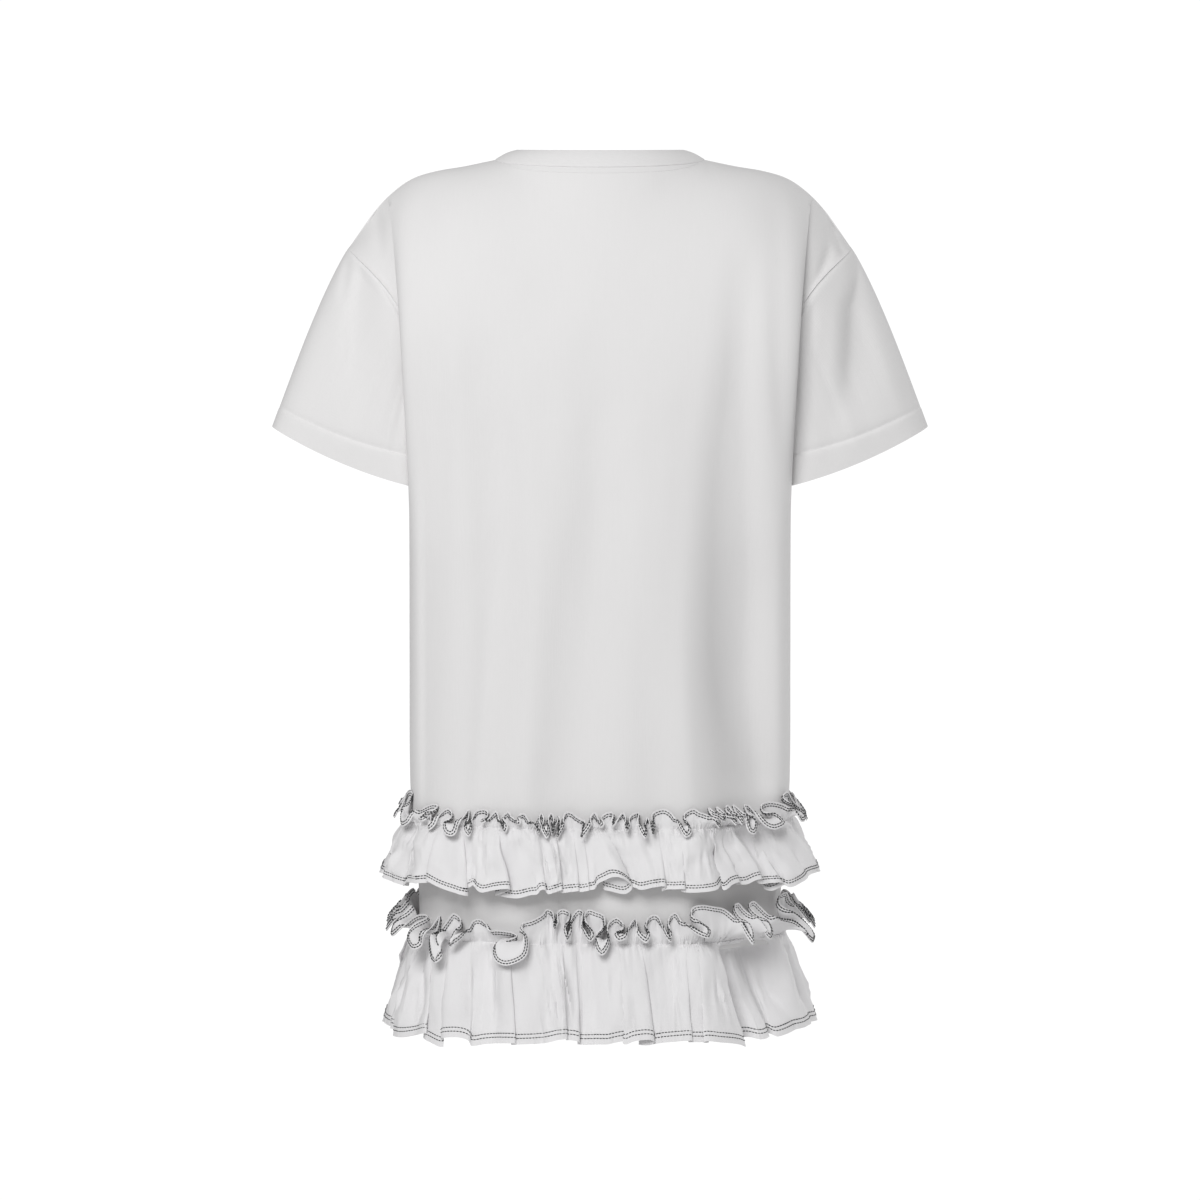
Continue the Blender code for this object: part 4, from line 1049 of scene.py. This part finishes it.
stitches = {  # length, width, height and thread
    "ruffle": (0.0030, 0.00150, 0.00215, greyThread),
    "cuff": (0.0028, 0.00045, 0.00040, whiteThread),
    "neck": (0.0028, 0.00060, 0.00070, whiteThread),
}
stitchForm = {
    "places": (0.02, 0.22, 0.78, 0.98), "sizes": (0.25, 1.0, 1.0, 0.25), "sides": 4,  # rings along each stitch
    "step": 0.6, "neckFalls": (0.0078, 0.0098), "cuffShares": (0.08, 0.14),
}


def faceOf(line, across):  # outward directions of a cloth from a line on it and what lies across the line
    return unitOf(np.cross(np.gradient(line, axis=0), across))


def stitchRow(name, points, faces, kind):
    length, wide, high, thread = stitches[kind]
    reach = lengthsAlong(points)
    count = max(1, round(reach[-1] / length))
    places = ((np.arange(count)[:, None] + np.array(stitchForm["places"])[None, :]) / count).ravel()
    centres = shareLine(points, places)
    ahead = unitOf(np.gradient(centres, axis=0))
    outs = columnsAt(places * reach[-1], reach, faces)
    outs = unitOf(outs - ahead * (outs * ahead).sum(axis=1)[:, None])
    size = np.tile(stitchForm["sizes"], count)
    angles = np.linspace(0.0, 2 * math.pi, stitchForm["sides"] + 1)
    outer = np.cos(angles)[None, :, None] * (0.5 * high * size)[:, None, None]
    aside = np.sin(angles)[None, :, None] * (0.5 * wide * size)[:, None, None]
    grid = centres[:, None] + outs[:, None] * outer + np.cross(outs, ahead)[:, None] * aside
    turns = (angles / (2 * math.pi))[None, :]
    cut = np.stack(np.broadcast_arrays((places * reach[-1])[:, None], turns), axis=-1)
    piece = gridMesh(name, grid, cut)
    mergeEdges(0.000004, turnOut=True)
    bpy.ops.object.shade_smooth()
    piece.data.materials.append(thread)
    return piece


def sewRuffle(node):
    strip, tier = strips[node], strips[node].tier
    sides = (("Heading", strip.edgeReach, strip.edgePlaces, tier["headingRows"], 1.0),
             ("Hem", strip.hemReach, strip.hemPlaces, tier["hemRows"], -1.0))
    made = []
    for label, reach, places, offsets, edge in sides:
        step = stitchForm["step"]
        run = np.interp(np.arange(0.5 * step, reach[-1] - 0.5 * step, step), reach, places)
        for offset in offsets:
            v = strip.rowAt(run, offset, edge)
            line = strip.at(run, v)
            across = strip.at(run, v + 0.02 * edge) - strip.at(run, v - 0.02 * edge)
            name = f"{node.replace('_', '')}{label}Stitches{len(made) + 1}"
            made.append(stitchRow(name, line, faceOf(line, across), "ruffle"))
    threads[node] = made


def sewCuff(hand, mirror):  # one fine row just under the top of the turned hem
    turn = np.linspace(0.0, 1.0, 1201)[None, :]
    line, under = (sleeveAt(mirror, turn, 1.0 + 0 * turn, share + 0 * turn)[0]
                   for share in stitchForm["cuffShares"])
    outward = faceOf(line, under - line) * mirror
    points = line + outward * 0.5 * sleeve["hemWall"]
    threads[hand + "_sleeve"] = [stitchRow(hand + "CuffStitches", points, outward, "cuff")]


def sewNeck(side):  # the row that holds the seam of the rib flat
    places = panelPlaces[side]
    columns = np.nonzero(np.abs(places[0, :, 0]) < neckSeam["halfWidth"] - 0.004)[0]
    line, under = (np.array([sampleLine(places[:, i], [fall])[0] for i in columns])
                   for fall in stitchForm["neckFalls"])
    outward = faceOf(line, under - line)
    outward *= np.sign((outward * np.array([0.0, facingOf(side), 0.6])).sum(axis=1))[:, None]
    points = line + outward * 0.5 * jersey["wall"]
    threads[side + "_panel"] = [stitchRow(side + "NeckStitches", points, outward, "neck")]


for side in ("back", "front"):
    sewNeck(side)
for node in strips:
    sewRuffle(node)
for hand, mirror in (("left", 1.0), ("right", -1.0)):
    sewCuff(hand, mirror)
print("Stitches made")


# each piece and its stitches are held from the root body, and the frame's own mesh of that name is hidden

for node, piece in sheets.items():
    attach(piece, "root")
    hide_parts(node)
    for thread in threads.get(node, []):
        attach(thread, "root")
print("Pieces tied to the frame")


# floor, light and camera

studio = {
    "floorZ": -1.60, "floorRadius": 3.0, "roomLight": 0.38, "backdropLight": 1.05, "target": (0.0, 0.0, -0.40),
    "keyPlace": (0.84, 2.82, 1.36), "keyPower": 70.0, "keySize": 1.5,
    "edgePlace": (2.2, -1.3, -0.25), "edgePower": (0.8, 22.0), "edgeSize": 1.2, "edgeOut": 0.18,
    "cameraPlace": (0.0, 5.5, 0.0096), "cameraTarget": (0.0, 0.0, -0.4215), "lens": 173.2,
}
bpy.ops.mesh.primitive_circle_add(vertices=128, radius=studio["floorRadius"], fill_type="NGON",
                                  location=(0.0, 0.0, studio["floorZ"]))
floor = bpy.context.object
floor.name = "studioFloor"
paper, tree, shader = newMaterial("palePaperFloor", 0.9, 0.0, 0.2)  # uncoated paper, matt and faintly mottled
place = addNode(tree, "TexCoord").outputs["Object"]
mottle = addNode(tree, "TexNoise", Vector=place, Scale=3.0, Detail=2.0).outputs["Fac"]
shade = addNode(tree, "Mix", {"data_type": "RGBA"}, Factor=mottle, A=linearColour("#f3f3f3"),
                B=linearColour("#f7f7f7"))
tree.links.new(shade.outputs["Result"], shader.inputs["Base Color"])
floor.data.materials.append(paper)

world = bpy.data.worlds.new("studio")
bpy.context.scene.world = world
world.use_nodes = True
tree = world.node_tree
tree.nodes.clear()
room, backdrop = (addNode(tree, "Background", Color=(1.0, 1.0, 1.0, 1.0), Strength=studio[key]).outputs[0]
                  for key in ("roomLight", "backdropLight"))
seen = addNode(tree, "LightPath").outputs["Is Camera Ray"]
both = addNode(tree, "MixShader", None, {0: seen, 1: room, 2: backdrop})
addNode(tree, "OutputWorld", Surface=both.outputs[0])


def aim(item, target):
    item.rotation_euler = (Vector(target) - item.location).to_track_quat("-Z", "Y").to_euler()


def softLight(name, location, target, power, size):
    bpy.ops.object.light_add(type="AREA", location=location)
    light = bpy.context.object
    light.name = name
    light.data.energy, light.data.size = power, size
    aim(light, target)


out, deep, high = studio["edgePlace"]
for mirror, power in zip((1.0, -1.0), studio["edgePower"]):
    target = (studio["edgeOut"] * mirror, *studio["target"][1:])
    softLight("edgeLight", (out * mirror, deep, high), target, power, studio["edgeSize"])
softLight("keyLight", studio["keyPlace"], studio["target"], studio["keyPower"], studio["keySize"])

bpy.ops.object.camera_add(location=studio["cameraPlace"])
camera = bpy.context.object
camera.data.lens, camera.data.sensor_width = studio["lens"], 36.0
camera.data.clip_start, camera.data.clip_end = 0.1, 60.0
aim(camera, studio["cameraTarget"])
bpy.context.scene.camera = camera
bpy.context.scene.view_settings.view_transform = "Standard"
bpy.ops.object.select_all(action="DESELECT")
print("Studio made")
